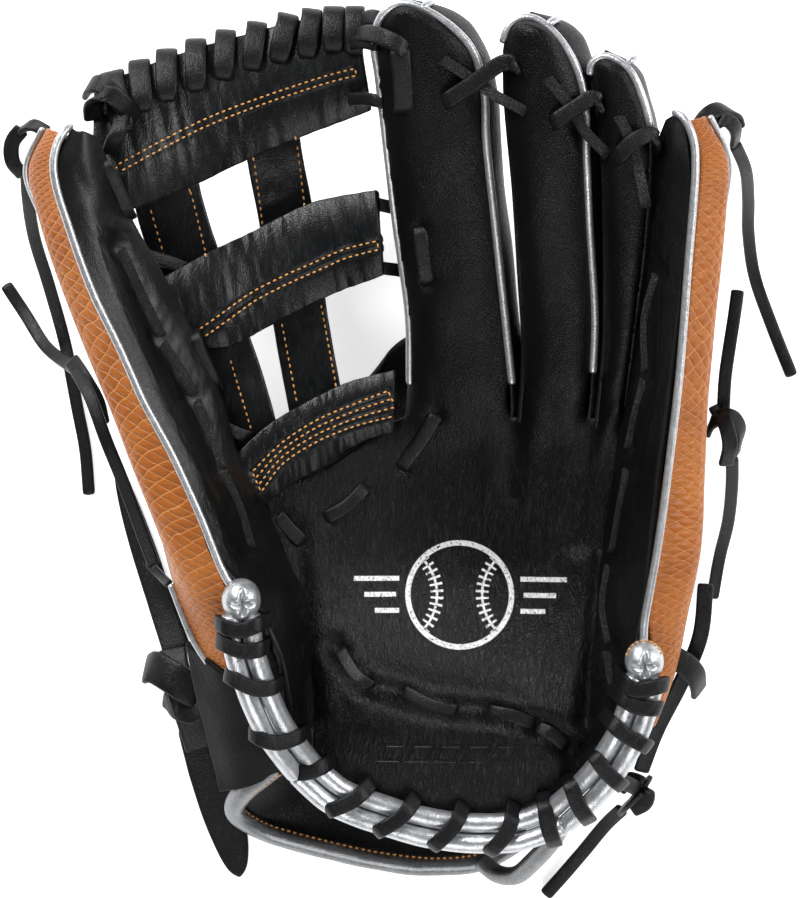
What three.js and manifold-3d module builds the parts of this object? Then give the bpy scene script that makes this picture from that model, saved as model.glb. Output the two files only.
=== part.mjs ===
// A fielder's glove for the left hand, lying on its back with the pocket up.
// Millimetres. +X points to the little finger, +Y to the fingertips and +Z out of the palm.
// The origin is on the flat of the back, under the middle of the hand.

import * as THREE from "three";
import { mergeVertices } from "three/addons/utils/BufferGeometryUtils.js";
import Module from "manifold-3d";

const wasm = await Module();
wasm.setup();

// Driving dimensions
const leather = 3; // shell leather
const strapLeather = 3.6; // doubled web leather
const lining = 1.8;
const padFelt = 4;
const weltRadius = 1.6; // silver piping along the finger edges
const laceRadius = 1.6;
const tailRadius = 1.8; // loose lace ends
const rollRadius = 3.6; // one of the two rolls of the heel binding
const rollPitch = 7.8; // between the two rolls' centres
const knobRadius = 6.6; // where the two rolls fold together
const strapRollRadius = 3.4; // binding of the wrist strap
const laceOverFront = 3.6; // lace centre above the face it lies on
const backFlat = 0; // height of the flat of the back

const looks = {
  black: { color: 0x1d1d1f, roughness: 0.55, metalness: 0 },
  tan: { color: 0xb86a30, roughness: 0.5, metalness: 0 },
  silver: { color: 0xb9bdc2, roughness: 0.35, metalness: 0.6 },
  lace: { color: 0x161618, roughness: 0.7, metalness: 0 },
  lining: { color: 0x2a2724, roughness: 0.85, metalness: 0 },
  felt: { color: 0x8d8b86, roughness: 0.95, metalness: 0 },
};

const glove = new THREE.Group();

function add(name, look, geometry) {
  const mesh = new THREE.Mesh(geometry, new THREE.MeshStandardMaterial(looks[look]));
  mesh.name = name;
  glove.add(mesh);
  return mesh;
}

// A smooth rail through a few points, heel end first.
function rail(...points) {
  return new THREE.CatmullRomCurve3(points.map((p) => new THREE.Vector3(...p)));
}

// The surface over a row of rails: u runs across them and v along them.
function loft(...rails) {
  return (u, v) => new THREE.CatmullRomCurve3(rails.map((r) => r.getPoint(v))).getPoint(u);
}

const nearby = 0.01; // step for measuring a surface's direction

function facing(surface, u, v) {
  const across = surface(Math.min(u + nearby, 1), v).sub(surface(Math.max(u - nearby, 0), v));
  const along = surface(u, Math.min(v + nearby, 1)).sub(surface(u, Math.max(v - nearby, 0)));
  return across.cross(along).normalize();
}

// A closed leather sheet that follows a surface; sink is how far its face lies below the surface.
function sheet(surface, across, along, { thickness = leather, sink = 0, u = [0, 1], v = [0, 1] } = {}) {
  const geometry = new THREE.BoxGeometry(1, 1, 1, across, along, 1);
  const position = geometry.getAttribute("position");
  for (let i = 0; i < position.count; i++) {
    const s = THREE.MathUtils.lerp(u[0], u[1], position.getX(i) + 0.5);
    const t = THREE.MathUtils.lerp(v[0], v[1], position.getY(i) + 0.5);
    const depth = sink + (0.5 - position.getZ(i)) * thickness;
    const point = surface(s, t).addScaledVector(facing(surface, s, t), -depth);
    position.setXYZ(i, point.x, point.y, point.z);
  }
  return geometry;
}

// A flat strap along a curve, its faces square to the given direction.
function strap(curve, up, width, thickness, steps) {
  const geometry = new THREE.BoxGeometry(1, 1, 1, 1, steps, 1);
  const position = geometry.getAttribute("position");
  for (let i = 0; i < position.count; i++) {
    const t = position.getY(i) + 0.5;
    const side = curve.getTangent(t).cross(up).normalize();
    const face = side.clone().cross(curve.getTangent(t)).normalize();
    const point = curve.getPoint(t);
    point.addScaledVector(side, position.getX(i) * width);
    point.addScaledVector(face, position.getZ(i) * thickness);
    position.setXYZ(i, point.x, point.y, point.z);
  }
  return geometry;
}

// A round cord along a curve.
function cord(curve, radius, steps, sides = 6) {
  const corners = [];
  for (let i = 0; i < sides; i++) {
    const angle = (i / sides) * 2 * Math.PI;
    corners.push(new THREE.Vector2(radius * Math.cos(angle), radius * Math.sin(angle)));
  }
  return new THREE.ExtrudeGeometry(new THREE.Shape(corners), { steps, extrudePath: curve, bevelEnabled: false });
}

// A lace that winds round a binding.
class Winding extends THREE.Curve {
  constructor(path, turns, halfWidth, halfHeight) {
    super();
    Object.assign(this, { path, turns, halfWidth, halfHeight });
  }

  getPoint(t) {
    const side = this.path.getTangent(t).cross(new THREE.Vector3(0, 0, 1)).normalize();
    const up = side.clone().cross(this.path.getTangent(t)).normalize();
    const angle = t * this.turns * 2 * Math.PI;
    const point = this.path.getPoint(t);
    point.addScaledVector(side, this.halfWidth * Math.cos(angle));
    return point.addScaledVector(up, this.halfHeight * Math.sin(angle));
  }
}

// A lace that passes back and forth over the free edge of a strap.
function overEdge(edge, crossings, { reach, rise, clear, outward }) {
  const points = [];
  for (let i = 0; i < crossings; i++) {
    const rim = edge.getPoint(i / (crossings - 1));
    rim.z -= strapLeather / 2;
    const places = [[-reach, clear], [0, clear], [rise, 0], [0, -clear], [-reach, -clear]];
    const pass = places.map(([out, lift]) => rim.clone().addScaledVector(outward, out).add(new THREE.Vector3(0, 0, lift)));
    points.push(...(i % 2 ? pass.reverse() : pass));
  }
  return new THREE.CatmullRomCurve3(points);
}

// A lace that zigzags over a surface between two lines of holes.
function zigzag(surface, stitches, uEven, uOdd, vFrom, vTo, lift) {
  const points = [];
  for (let i = 0; i <= stitches; i++) {
    const u = i % 2 ? uOdd : uEven;
    const v = THREE.MathUtils.lerp(vFrom, vTo, i / stitches);
    points.push(surface(u, v).addScaledVector(facing(surface, u, v), lift));
  }
  return new THREE.CatmullRomCurve3(points);
}

// A lace laid on a surface along a few of its places.
function laidOn(surface, lift, ...places) {
  return new THREE.CatmullRomCurve3(
    places.map(([u, v]) => surface(u, v).addScaledVector(facing(surface, u, v), lift)),
  );
}

function solid(geometry) {
  const bare = geometry.clone();
  bare.deleteAttribute("normal");
  bare.deleteAttribute("uv");
  const merged = mergeVertices(bare, 1e-4);
  const source = merged.index.array;
  return new wasm.Manifold(
    new wasm.Mesh({
      numProp: 3,
      vertProperties: merged.getAttribute("position").array,
      triVerts: new Uint32Array(source),
    }),
  );
}

function joined(...geometries) {
  const whole = geometries.map(solid).reduce((sum, next) => sum.add(next));
  const { vertProperties, triVerts } = whole.getMesh();
  const geometry = new THREE.BufferGeometry();
  geometry.setAttribute("position", new THREE.BufferAttribute(vertProperties, 3));
  geometry.setIndex(new THREE.BufferAttribute(triVerts, 1));
  geometry.computeVertexNormals();
  return geometry;
}

const up = new THREE.Vector3(0, 0, 1);
const towardTips = new THREE.Vector3(0, 1, 0);

// Front leather: one hide for the palm and the three middle fingers
const palm = loft(
  rail([-37, -110, 52], [-40, -92, 52], [-42, -68, 48], [-44, -48, 46], [-51, -30, 48], [-58, -19, 51]),
  rail([-22, -120, 54], [-24, -98, 57], [-26, -70, 44], [-30, -46, 38], [-36, -24, 40], [-38, -7, 44]),
  rail([0, -128, 55], [0, -104, 62], [-2, -76, 46], [-6, -46, 36], [-8, -20, 38], [-11, 12, 45]),
  rail([24, -129, 56], [24, -106, 64], [22, -78, 50], [21, -46, 42], [24, -20, 46], [29, 12, 54]),
  rail([44, -122, 59], [46, -104, 63], [46, -78, 57], [46, -46, 52], [50, -20, 56], [54, 12, 63]),
  rail([54, -114, 60], [58, -96, 61], [61, -76, 61], [63, -46, 61], [65, -20, 65], [69, 10, 70]),
);
const indexFront = loft(
  rail([-11, 6, 44], [-10, 34, 49], [-14, 76, 62], [-20, 116, 78], [-23, 146, 87]),
  rail([8, 6, 50], [8, 34, 58], [5, 78, 72], [0, 118, 86], [-5, 158, 93]),
  rail([27, 6, 53], [27, 34, 57], [24, 80, 70], [20, 118, 83], [14, 149, 91]),
);
const middleFront = loft(
  rail([33, 6, 55], [34, 48, 66], [32, 81, 77], [28, 117, 89], [29, 141, 97]),
  rail([45, 6, 60], [47, 48, 73], [45, 86, 86], [42, 122, 97], [40, 153, 100]),
  rail([57, 6, 63], [60, 44, 71], [60, 81, 83], [58, 117, 94], [53, 141, 100]),
);
const ringFront = loft(
  rail([63, 5, 67], [65, 44, 76], [65, 86, 90], [63, 112, 98], [63, 128, 103]),
  rail([66, 5, 69], [70, 46, 82], [72, 88, 95], [70, 118, 104], [69, 138, 107]),
  rail([69, 5, 69], [75, 48, 83], [77, 88, 96], [77, 112, 102], [74, 130, 107]),
);
add("palm_front", "black", joined(
  sheet(palm, 10, 8),
  sheet(indexFront, 4, 7, { sink: 0.6 }),
  sheet(middleFront, 4, 7, { sink: 0.6 }),
  sheet(ringFront, 2, 7, { sink: 0.6 }),
));
add("palm_pad", "felt", sheet(palm, 6, 6, { thickness: padFelt, sink: 4.5, u: [0.16, 0.84], v: [0.14, 0.8] }));
add("palm_liner", "lining", sheet(palm, 6, 6, { thickness: lining, sink: 10.2, u: [0.12, 0.88], v: [0.1, 0.86] }));

// Back of the hand: a shallow tray with a true flat under the knuckles and the wrist
const backTray = loft(
  rail([-54, -112, 26], [-58, -60, 26], [-56, -20, 28], [-40, 18, 30]),
  rail([-38, -116, 5], [-40, -60, 3], [-38, -20, 3], [-26, 26, 8]),
  rail([-12, -118, -4], [-14, -60, -4], [-12, -20, -4], [-8, 44, -4]),
  rail([20, -118, -4], [20, -60, -4], [22, -20, -4], [26, 48, -4]),
  rail([44, -116, 4], [44, -60, 4], [46, -20, 5], [48, 40, 10]),
  rail([57, -110, 24], [60, -60, 26], [61, -20, 28], [63, 14, 30]),
);
const backSurface = (u, v) => {
  const point = backTray(u, v);
  point.z = Math.max(point.z, backFlat);
  return point;
};
add("back_shell", "black", sheet(backSurface, 10, 6, { sink: -leather }));

// Finger backs: a trough under each finger of the front hide
const indexBack = loft(
  rail([-10.5, 22, 41], [-10, 48, 48], [-14, 80, 57], [-19.5, 116, 71], [-21.5, 144, 80]),
  rail([-8.5, 22, 23], [-8.5, 48, 28], [-12, 80, 42], [-17, 116, 60], [-18.5, 146, 73]),
  rail([8, 22, 6], [8, 48, 12], [5, 80, 32], [0, 118, 52], [-4, 153, 67]),
  rail([24.5, 22, 25], [24.5, 48, 33], [22, 80, 48], [17.5, 116, 62], [12, 147, 76]),
  rail([26, 22, 46], [26, 48, 53], [23.5, 80, 63], [19, 116, 76], [13, 147, 84]),
);
const middleBack = loft(
  rail([33.5, 22, 51], [35, 48, 59], [32.5, 81, 69], [29, 116, 81], [29.5, 140, 90]),
  rail([35, 22, 34], [36.5, 48, 42], [34.5, 81, 54], [31.5, 116, 68], [32.5, 142, 82]),
  rail([45, 22, 19], [47, 48, 28], [45.5, 84, 48], [42.5, 120, 66], [40.5, 149, 80]),
  rail([56, 22, 38], [58, 46, 48], [57, 81, 61], [54.5, 116, 75], [49.5, 142, 86]),
  rail([58, 22, 58], [59.5, 46, 64], [59, 81, 75], [57, 116, 86], [52, 140, 92]),
);
const ringBack = loft(
  rail([64, 22, 66], [66, 44, 71], [66, 86, 84], [64.5, 112, 92], [64, 127, 98]),
  rail([64.5, 22, 50], [66.5, 44, 56], [67, 86, 68], [65.5, 112, 78], [65.5, 129, 88]),
  rail([69, 22, 39], [71, 46, 47], [72, 87, 60], [70.5, 115, 72], [69, 134, 84]),
  rail([73, 22, 50], [75.5, 46, 60], [76.5, 87, 72], [75.5, 112, 81], [72.5, 130, 90]),
  rail([73, 22, 67], [76, 46, 77], [77, 87, 90], [76, 112, 96], [73.5, 129, 102]),
);
add("index_back", "black", sheet(indexBack, 8, 5, { thickness: 2.4, sink: -2.4 }));
add("middle_back", "black", sheet(middleBack, 8, 5, { thickness: 2.4, sink: -2.4 }));
add("ring_back", "black", sheet(ringBack, 8, 5, { thickness: 2, sink: -2 }));

// Piping that edges the three middle fingers, from crotch to crotch over the tip
const weltSteps = 16;
add("index_piping", "silver", cord(
  rail([-14, 34, 52], [-18, 76, 64], [-24, 116, 79], [-26, 144, 88], [-18, 160, 93], [-2, 163, 97],
    [13, 157, 96], [19, 143, 92], [24, 116, 83], [28, 80, 71], [30, 24, 58]), weltRadius, weltSteps, 5));
add("middle_piping", "silver", cord(
  rail([31, 30, 64], [28, 82, 80], [25, 117, 92], [26, 142, 101], [33, 154, 104], [45, 155, 105],
    [54, 147, 105], [59.5, 132, 101], [62.4, 100, 91], [62.6, 60, 78], [61.5, 24, 69]), weltRadius, weltSteps, 5));
add("ring_piping", "silver", cord(
  rail([61.5, 96, 96], [60, 114, 102], [60, 130, 107], [65, 140, 110], [73, 138, 111],
    [78, 130, 110], [79.5, 112, 105], [79.5, 98, 101]), weltRadius, 12, 5));

// Thumb
const thumbWall = loft(
  rail([-44, -107, 55], [-48, -91, 64], [-53, -72, 75], [-58, -55, 80], [-73, -38, 89], [-85, -14, 94],
    [-101, 18, 99], [-117, 58, 103], [-127, 90, 106], [-129, 112, 107]),
  rail([-43, -108, 52], [-46, -91, 56], [-49, -72, 61], [-53, -54, 65], [-64, -36, 72], [-79, -8, 82],
    [-97, 26, 88], [-115, 66, 96], [-124, 92, 101], [-127, 113, 104]),
  rail([-42, -109, 49], [-44, -91, 47], [-46, -72, 44], [-49, -53, 42], [-57, -32, 46], [-70, -4, 53],
    [-90, 40, 63], [-108, 78, 77], [-117, 98, 85], [-121, 109, 91]),
);
add("thumb_front", "black", sheet(thumbWall, 4, 14));
add("thumb_heel_pad", "felt", sheet(thumbWall, 3, 5, { thickness: 4, sink: 4, u: [0.2, 0.8], v: [0.04, 0.36] }));
const thumbSide = loft(
  rail([-77, -74, 82], [-80, -50, 88], [-92, -19, 93], [-109, 14, 98], [-125, 54, 102], [-135, 88, 105], [-137, 113, 106]),
  rail([-85, -80, 73], [-94, -54, 78], [-105, -21, 81], [-118, 14, 86], [-133, 54, 90], [-143, 88, 94], [-145, 110, 98]),
  rail([-88, -82, 64], [-101, -58, 66], [-109, -22, 69], [-118, 14, 72], [-135, 54, 76], [-145, 86, 80], [-147, 108, 87]),
);
add("thumb_outer_panel", "tan", sheet(thumbSide, 4, 8, { sink: -leather }));
const thumbBack = loft(
  rail([-85, -84, 60], [-98, -58, 62], [-106, -22, 65], [-115, 14, 68], [-132, 54, 72], [-142, 84, 76], [-144, 106, 83]),
  rail([-74, -94, 30], [-86, -60, 32], [-96, -24, 36], [-108, 14, 42], [-124, 52, 52], [-136, 82, 62], [-139, 104, 74]),
  rail([-64, -98, 22], [-72, -60, 22], [-82, -26, 26], [-98, 14, 34], [-114, 48, 46], [-128, 80, 58], [-133, 102, 72]),
  rail([-60, -99, 30], [-64, -60, 32], [-74, -28, 36], [-92, 14, 44], [-108, 46, 54], [-122, 76, 64], [-128, 102, 76]),
);
add("thumb_back", "black", sheet(thumbBack, 6, 8, { sink: -leather }));
add("thumb_piping", "silver", cord(
  rail([-75, -45, 93], [-88, -17, 98], [-105, 16, 103], [-121, 56, 107], [-131, 88, 110], [-134, 106, 111],
    [-131, 117, 110], [-124, 117, 101]), weltRadius, 16, 5));
add("thumb_edge_lace", "lace", cord(zigzag(thumbWall, 14, 0.52, 0.74, 0.44, 0.93, laceOverFront), laceRadius, 28, 5));
add("thumb_loop", "lace", strap(
  rail([-95, 3, 80], [-90, 3, 68], [-90, 2, 57], [-95, 1, 51], [-100, 0, 56], [-102, 0, 68], [-101, 1, 78]),
  new THREE.Vector3(0.3, 1, 0), 9, 1.6, 10));

// Little finger
const littleWall = loft(
  rail([58, -112, 59], [62, -96, 60], [65, -76, 61], [67, -46, 62], [70, -20, 66], [74, 12, 73], [81, 60, 86], [85.5, 92, 95], [86.5, 114, 100]),
  rail([60, -113, 65], [64, -97, 71], [67, -76, 74], [70, -46, 77], [74, -18, 82], [78, 14, 87], [84, 62, 95], [88, 92, 102], [88.5, 115, 105]),
  rail([61, -112, 67], [65, -97, 77], [68, -77, 82], [73, -56, 88], [78, -18, 95], [82, 14, 98], [88, 62, 104], [91, 92, 107], [91, 116, 109]),
);
add("little_front", "black", sheet(littleWall, 4, 12));
add("little_heel_pad", "felt", sheet(littleWall, 3, 5, { thickness: 3.4, sink: 4, u: [0.2, 0.8], v: [0.04, 0.4] }));
const littleSide = loft(
  rail([88, -82, 80], [84, -60, 90], [85, -20, 96], [89, 14, 99], [94, 60, 104], [98, 90, 107], [98, 113, 109]),
  rail([92, -83, 74], [92, -62, 80], [96, -22, 85], [99, 14, 88], [103, 60, 94], [107, 90, 98], [105, 114, 103]),
  rail([94, -84, 64], [98, -64, 66], [103, -24, 69], [105, 14, 74], [108, 58, 80], [110, 88, 85], [108, 110, 92]),
);
add("little_outer_panel", "tan", sheet(littleSide, 4, 8));
const littleBack = loft(
  rail([76, -102, 36], [76, -66, 36], [80, -26, 44], [84, 14, 54], [88, 56, 64], [90, 84, 74], [90, 104, 84]),
  rail([80, -98, 28], [82, -64, 28], [86, -26, 34], [92, 14, 42], [97, 56, 54], [98, 84, 66], [97, 106, 78]),
  rail([87, -94, 40], [92, -62, 40], [98, -26, 46], [101, 14, 54], [105, 58, 64], [105, 86, 74], [103, 107, 84]),
  rail([90, -90, 60], [95, -64, 62], [100, -25, 65], [102, 14, 70], [105, 58, 76], [107, 87, 81], [105, 108, 88]),
);
add("little_back", "black", sheet(littleBack, 6, 8));
add("little_piping", "silver", cord(
  rail([78, -60, 93], [80, -40, 97], [83, -10, 101], [87, 16, 104], [92, 60, 108], [95, 92, 112], [95, 108, 113],
    [91.5, 120, 113], [88, 120, 108]), weltRadius, 16, 5));
add("little_edge_lace", "lace", cord(zigzag(littleWall, 14, 0.2, 0.48, 0.42, 0.8, laceOverFront), laceRadius, 28, 5));
add("little_loop", "lace", strap(
  rail([85, 4, 82], [82, 3, 74], [83, 2, 65], [87, 0, 60], [92, 0, 64], [93, 1, 76]),
  new THREE.Vector3(-0.2, 1, 0), 9, 1.6, 8));

// Heel binding: two parallel rolls that fold together into a knob at each end
function rolls(path, steps) {
  const edges = [-0.5, 0.5].map((half) => {
    const points = [];
    for (let i = 0; i <= steps; i++) {
      const t = i / steps;
      const side = path.getTangent(t).cross(up).normalize();
      points.push(path.getPoint(t).addScaledVector(side, half * rollPitch));
    }
    return cord(new THREE.CatmullRomCurve3(points), rollRadius, steps, 6);
  });
  const bridge = strap(path, up, rollPitch, rollRadius, steps);
  return joined(...edges, bridge);
}

function knob(x, y, z) {
  return new THREE.SphereGeometry(knobRadius, 10, 7).translate(x, y, z);
}

const thumbRoll = rail([-51, -113, 64], [-57, -104, 73], [-64, -88, 82], [-69, -71, 89], [-69, -57, 92]);
const heelRoll = rail([-43, -123, 57], [-34, -130, 55], [-18, -137, 54], [0, -142, 54], [20, -144, 55], [36, -143, 57], [48, -137, 61]);
const littleRoll = rail([57, -129, 68], [64, -120, 75], [71, -108, 82], [76, -95, 87], [78, -80, 90]);
add("heel_binding_thumb", "silver", joined(rolls(thumbRoll, 8), knob(-69, -55, 92)));
add("heel_binding_palm", "silver", rolls(heelRoll, 10));
add("heel_binding_little", "silver", joined(rolls(littleRoll, 8), knob(78, -78, 90)));
const windHalfWidth = rollPitch / 2 + rollRadius + 2.8;
const windHalfHeight = rollRadius + 2.8;
const windSteps = 8; // per turn
for (const [name, path, turns] of [["heel_lace_thumb", thumbRoll, 4], ["heel_lace_palm", heelRoll, 5], ["heel_lace_little", littleRoll, 4]]) {
  add(name, "lace", cord(new Winding(path, turns, windHalfWidth, windHalfHeight), laceRadius, turns * windSteps, 5));
}
add("palm_arch_lace", "lace", cord(
  laidOn(palm, 3.4, [0.14, 0.36], [0.26, 0.31], [0.42, 0.25], [0.58, 0.24], [0.72, 0.22], [0.84, 0.2], [0.9, 0.14]),
  laceRadius, 18));

// Wrist strap across the back of the wrist, its rolled edge and the binding's tab
const strapEdge = rail([-60, -121, 44], [-68, -129, 34], [-66, -137, 22], [-49, -149, 12], [-20, -158, 7], [4, -160, 6], [22, -157, 7], [34, -150, 12]);
add("wrist_strap_binding", "silver", cord(strapEdge, strapRollRadius, 14, 6));
const wristStrap = loft(
  rail([-57, -118, 32], [-36, -121, 9], [0, -122, 4.5], [30, -122, 5], [50, -120, 16]),
  rail([-62, -124, 26], [-40, -134, 8], [0, -140, 3.6], [26, -138, 5], [44, -132, 12]),
  rail([-62, -131, 22], [-44, -144, 10], [-2, -155, 4.6], [20, -152, 6], [36, -143, 12]),
);
add("wrist_strap", "black", sheet((u, v) => wristStrap(1 - u, v), 3, 10, { sink: -leather }));
add("wrist_tab", "silver", cord(rail([44, -155, 20], [47, -160, 27], [53, -156, 40], [55, -147, 52]), rollRadius, 8, 8));

// Web: two posts behind three bridges
const leftPost = rail([-70, 4, 46], [-79, 38, 50], [-90, 72, 54], [-95, 94, 58], [-96, 118, 62]);
const rightPost = rail([-44, 18, 38], [-49, 50, 43], [-55, 88, 47], [-60, 112, 54], [-62, 134, 57]);
add("web_left_post", "black", strap(leftPost, up, 14, strapLeather, 10));
add("web_right_post", "black", strap(rightPost, up, 20, strapLeather, 10));
const topEdge = rail([-110, 141, 78], [-93, 148, 71], [-71, 155, 68], [-50, 159, 70], [-31, 160, 78]);
const topBridge = loft(rail([-108, 90, 81], [-88, 98, 70], [-69, 107, 66], [-49, 116, 67], [-29, 124, 77]), topEdge);
const middleBridge = loft(
  rail([-85, 40, 64], [-73, 38, 59], [-60, 45, 55], [-40, 57, 54], [-19, 64, 62]),
  rail([-95, 64, 67], [-82, 76, 62], [-67, 84, 57], [-47, 92, 57], [-22, 96, 66]),
);
const bottomBridge = loft(
  rail([-58, -11, 53], [-50, -7, 50], [-38, -1, 49], [-26, 6, 49], [-16, 11, 51]),
  rail([-65, 2, 57], [-58, 9, 54], [-46, 18, 51], [-32, 25, 50], [-16, 30, 52]),
);
const across = (surface) => (u, v) => surface(v, u);
add("web_top_bridge", "black", sheet(across(topBridge), 8, 3, { thickness: strapLeather }));
add("web_middle_bridge", "black", sheet(across(middleBridge), 8, 3, { thickness: strapLeather }));
add("web_bottom_bridge", "black", sheet(across(bottomBridge), 8, 3, { thickness: strapLeather }));
add("web_top_lace", "lace", cord(
  overEdge(topEdge, 7, { reach: 8, rise: 5, clear: 5.4, outward: towardTips }), laceRadius, 56, 5));
const thumbGap = rail([-67, 10, 65], [-79, 36, 69], [-90, 58, 72], [-98, 76, 77], [-103, 94, 84]);
add("web_thumb_lace", "lace", cord(thumbGap, laceRadius, 12, 6));
const indexGap = rail([-17, 22, 58], [-21, 60, 69], [-25, 90, 76], [-30, 118, 84], [-32, 136, 86]);
add("web_index_lace", "lace", cord(indexGap, laceRadius, 12, 6));

// Laces that tie neighbouring fingertips
add("tip_lace_index_middle", "lace", cord(
  rail([6, 137, 97], [15, 138, 99], [25, 137, 103], [34, 136, 105], [41, 134, 105]), laceRadius, 10));
add("tip_lace_middle_ring", "lace", cord(
  rail([46, 124, 105], [54, 124, 109], [62, 121, 112], [70, 118, 110]), laceRadius, 10));
add("tip_lace_ring_little", "lace", cord(
  rail([86, 107, 108], [88, 99, 110], [90, 91, 112]), laceRadius, 6));

// Knots and loose lace ends
function knot(x, y, z, radius, flatness) {
  return new THREE.SphereGeometry(radius, 8, 6).scale(1, 1.2, flatness).translate(x, y, z);
}
add("thong_knot", "lace", knot(-95, -92, 9, 9, 0.8));
add("little_top_knot", "lace", knot(109, 119, 86, 4.6, 0.9));
add("little_side_knot", "lace", knot(112, 4, 66, 5, 0.9));
add("heel_knot", "lace", knot(80, -130, 34, 5.5, 0.9));
add("thong_lead", "lace", cord(rail([-87, -92, 14], [-82, -92, 18], [-77, -93, 24]), laceRadius, 4));
add("heel_lead", "lace", cord(
  rail([103, -52, 60], [101, -70, 58], [96, -90, 53], [90, -108, 45], [85, -121, 39]), laceRadius, 10));
const tails = {
  thong_upper_end: [[-97, -78, 8], [-102, -64, 5], [-108, -46, 3.4], [-114, -28, 2.4], [-121, -6, 2.2]],
  thong_lower_end: [[-91, -106, 6], [-87, -118, 4], [-82, -134, 2.6], [-77, -150, 2.2], [-73, -166, 2.2]],
  thumb_tip_tail: [[-149, 104, 76], [-152, 94, 64], [-152, 80, 44], [-149, 62, 24], [-143, 40, 10], [-136, 16, 3], [-131, 0, 2.2], [-127, -18, 2.2]],
  thumb_side_tail: [[-134, 30, 32], [-139, 33, 20], [-148, 40, 9], [-156, 52, 3], [-164, 64, 2.2]],
  little_top_tail: [[112, 112, 84], [117, 104, 70], [120, 94, 48], [122, 82, 26], [126, 66, 9], [133, 48, 2.6], [141, 28, 2.2]],
  little_side_tail: [[113, -3, 60], [114, -14, 46], [114, -28, 28], [112, -42, 12], [110, -58, 2.6]],
  heel_tail: [[74, -137, 28], [68, -144, 18], [60, -155, 9], [52, -165, 4.4], [45, -173, 3]],
};
const tailStep = 9; // length of one straight step along a loose lace end
for (const [name, points] of Object.entries(tails)) {
  const route = rail(...points);
  add(name, "lace", cord(route, tailRadius, Math.round(route.getLength() / tailStep), 8));
}

export default glove;
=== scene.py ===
from bisect import bisect_right
from math import cos, exp, hypot, pi, sin, sqrt

import bmesh
import bpy
from mathutils import Matrix, Vector, noise
from mathutils.bvhtree import BVHTree


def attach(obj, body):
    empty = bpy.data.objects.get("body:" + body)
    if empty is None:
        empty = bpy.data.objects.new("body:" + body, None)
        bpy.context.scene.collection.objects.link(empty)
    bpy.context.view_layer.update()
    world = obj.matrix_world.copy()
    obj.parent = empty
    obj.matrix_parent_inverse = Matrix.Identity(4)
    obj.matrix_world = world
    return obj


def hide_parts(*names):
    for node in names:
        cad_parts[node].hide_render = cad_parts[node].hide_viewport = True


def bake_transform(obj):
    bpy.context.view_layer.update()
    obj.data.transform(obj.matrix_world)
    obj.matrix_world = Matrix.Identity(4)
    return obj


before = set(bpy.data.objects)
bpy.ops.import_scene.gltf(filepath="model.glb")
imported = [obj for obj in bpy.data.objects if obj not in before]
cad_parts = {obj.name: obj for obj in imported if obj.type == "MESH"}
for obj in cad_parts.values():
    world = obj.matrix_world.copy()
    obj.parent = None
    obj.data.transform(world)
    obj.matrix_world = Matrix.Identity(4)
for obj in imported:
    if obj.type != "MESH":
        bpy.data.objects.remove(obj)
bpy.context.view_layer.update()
scene = bpy.context.scene
upward = Vector((0, 0, 1))
# noise vectors start from the clock unless they are given a seed
noise.seed_set(7)
print("glove: frame loaded")

# camera, straight above the pocket
cameraSettings = {"place": (-0.011, 0, 1.565), "lens": 161.65, "sensor": 36}
cameraData = bpy.data.cameras.new("camera")
cameraData.lens = cameraSettings["lens"]
cameraData.sensor_width = cameraSettings["sensor"]
camera = bpy.data.objects.new("camera", cameraData)
camera.location = cameraSettings["place"]
scene.collection.objects.link(camera)
scene.camera = camera


# curves and surfaces: points are given in millimetres and kept in metres
def rail(*points):
    return [Vector(point) / 1000 for point in points]


def smoothPoint(points, share):
    # a centripetal curve through the points, share from 0 to 1
    spans = len(points) - 1
    first = min(int(share * spans), spans - 1)
    local = share * spans - first
    b, c = points[first], points[first + 1]
    a = points[first - 1] if first else 2 * b - c
    d = points[first + 2] if first + 2 <= spans else 2 * c - b
    gapA, gapB, gapC = (max((q - p).length, 1e-9) ** 0.5 for p, q in ((a, b), (b, c), (c, d)))
    slopeB = ((b - a) / gapA - (c - a) / (gapA + gapB) + (c - b) / gapB) * gapB
    slopeC = ((c - b) / gapB - (d - b) / (gapB + gapC) + (d - c) / gapC) * gapB
    return (b + slopeB * local + (3 * (c - b) - 2 * slopeB - slopeC) * local ** 2
            + (2 * (b - c) + slopeB + slopeC) * local ** 3)


def loft(*rails):
    # the surface over a row of rails: u runs across them and v along them
    rows = {}

    def at(u, v):
        key = round(v, 6)
        if key not in rows:
            rows[key] = [smoothPoint(line, v) for line in rails]
        return smoothPoint(rows[key], u)
    return at


class Route:
    # a path that is measured along its length
    def __init__(self, points, samples=160):
        self.spots = [smoothPoint(points, i / samples) for i in range(samples + 1)]
        self.marks = [0.0]
        for a, b in zip(self.spots, self.spots[1:]):
            self.marks.append(self.marks[-1] + (b - a).length)
        self.length = self.marks[-1]

    def at(self, share):
        goal = share * self.length
        i = min(max(bisect_right(self.marks, goal) - 1, 0), len(self.spots) - 2)
        span = self.marks[i + 1] - self.marks[i]
        return self.spots[i].lerp(self.spots[i + 1], (goal - self.marks[i]) / span if span else 0)

    def heading(self, share, step=0.006):
        return (self.at(min(share + step, 1)) - self.at(max(share - step, 0))).normalized()


def amount(value, share):
    return value(share) if callable(value) else value


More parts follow.
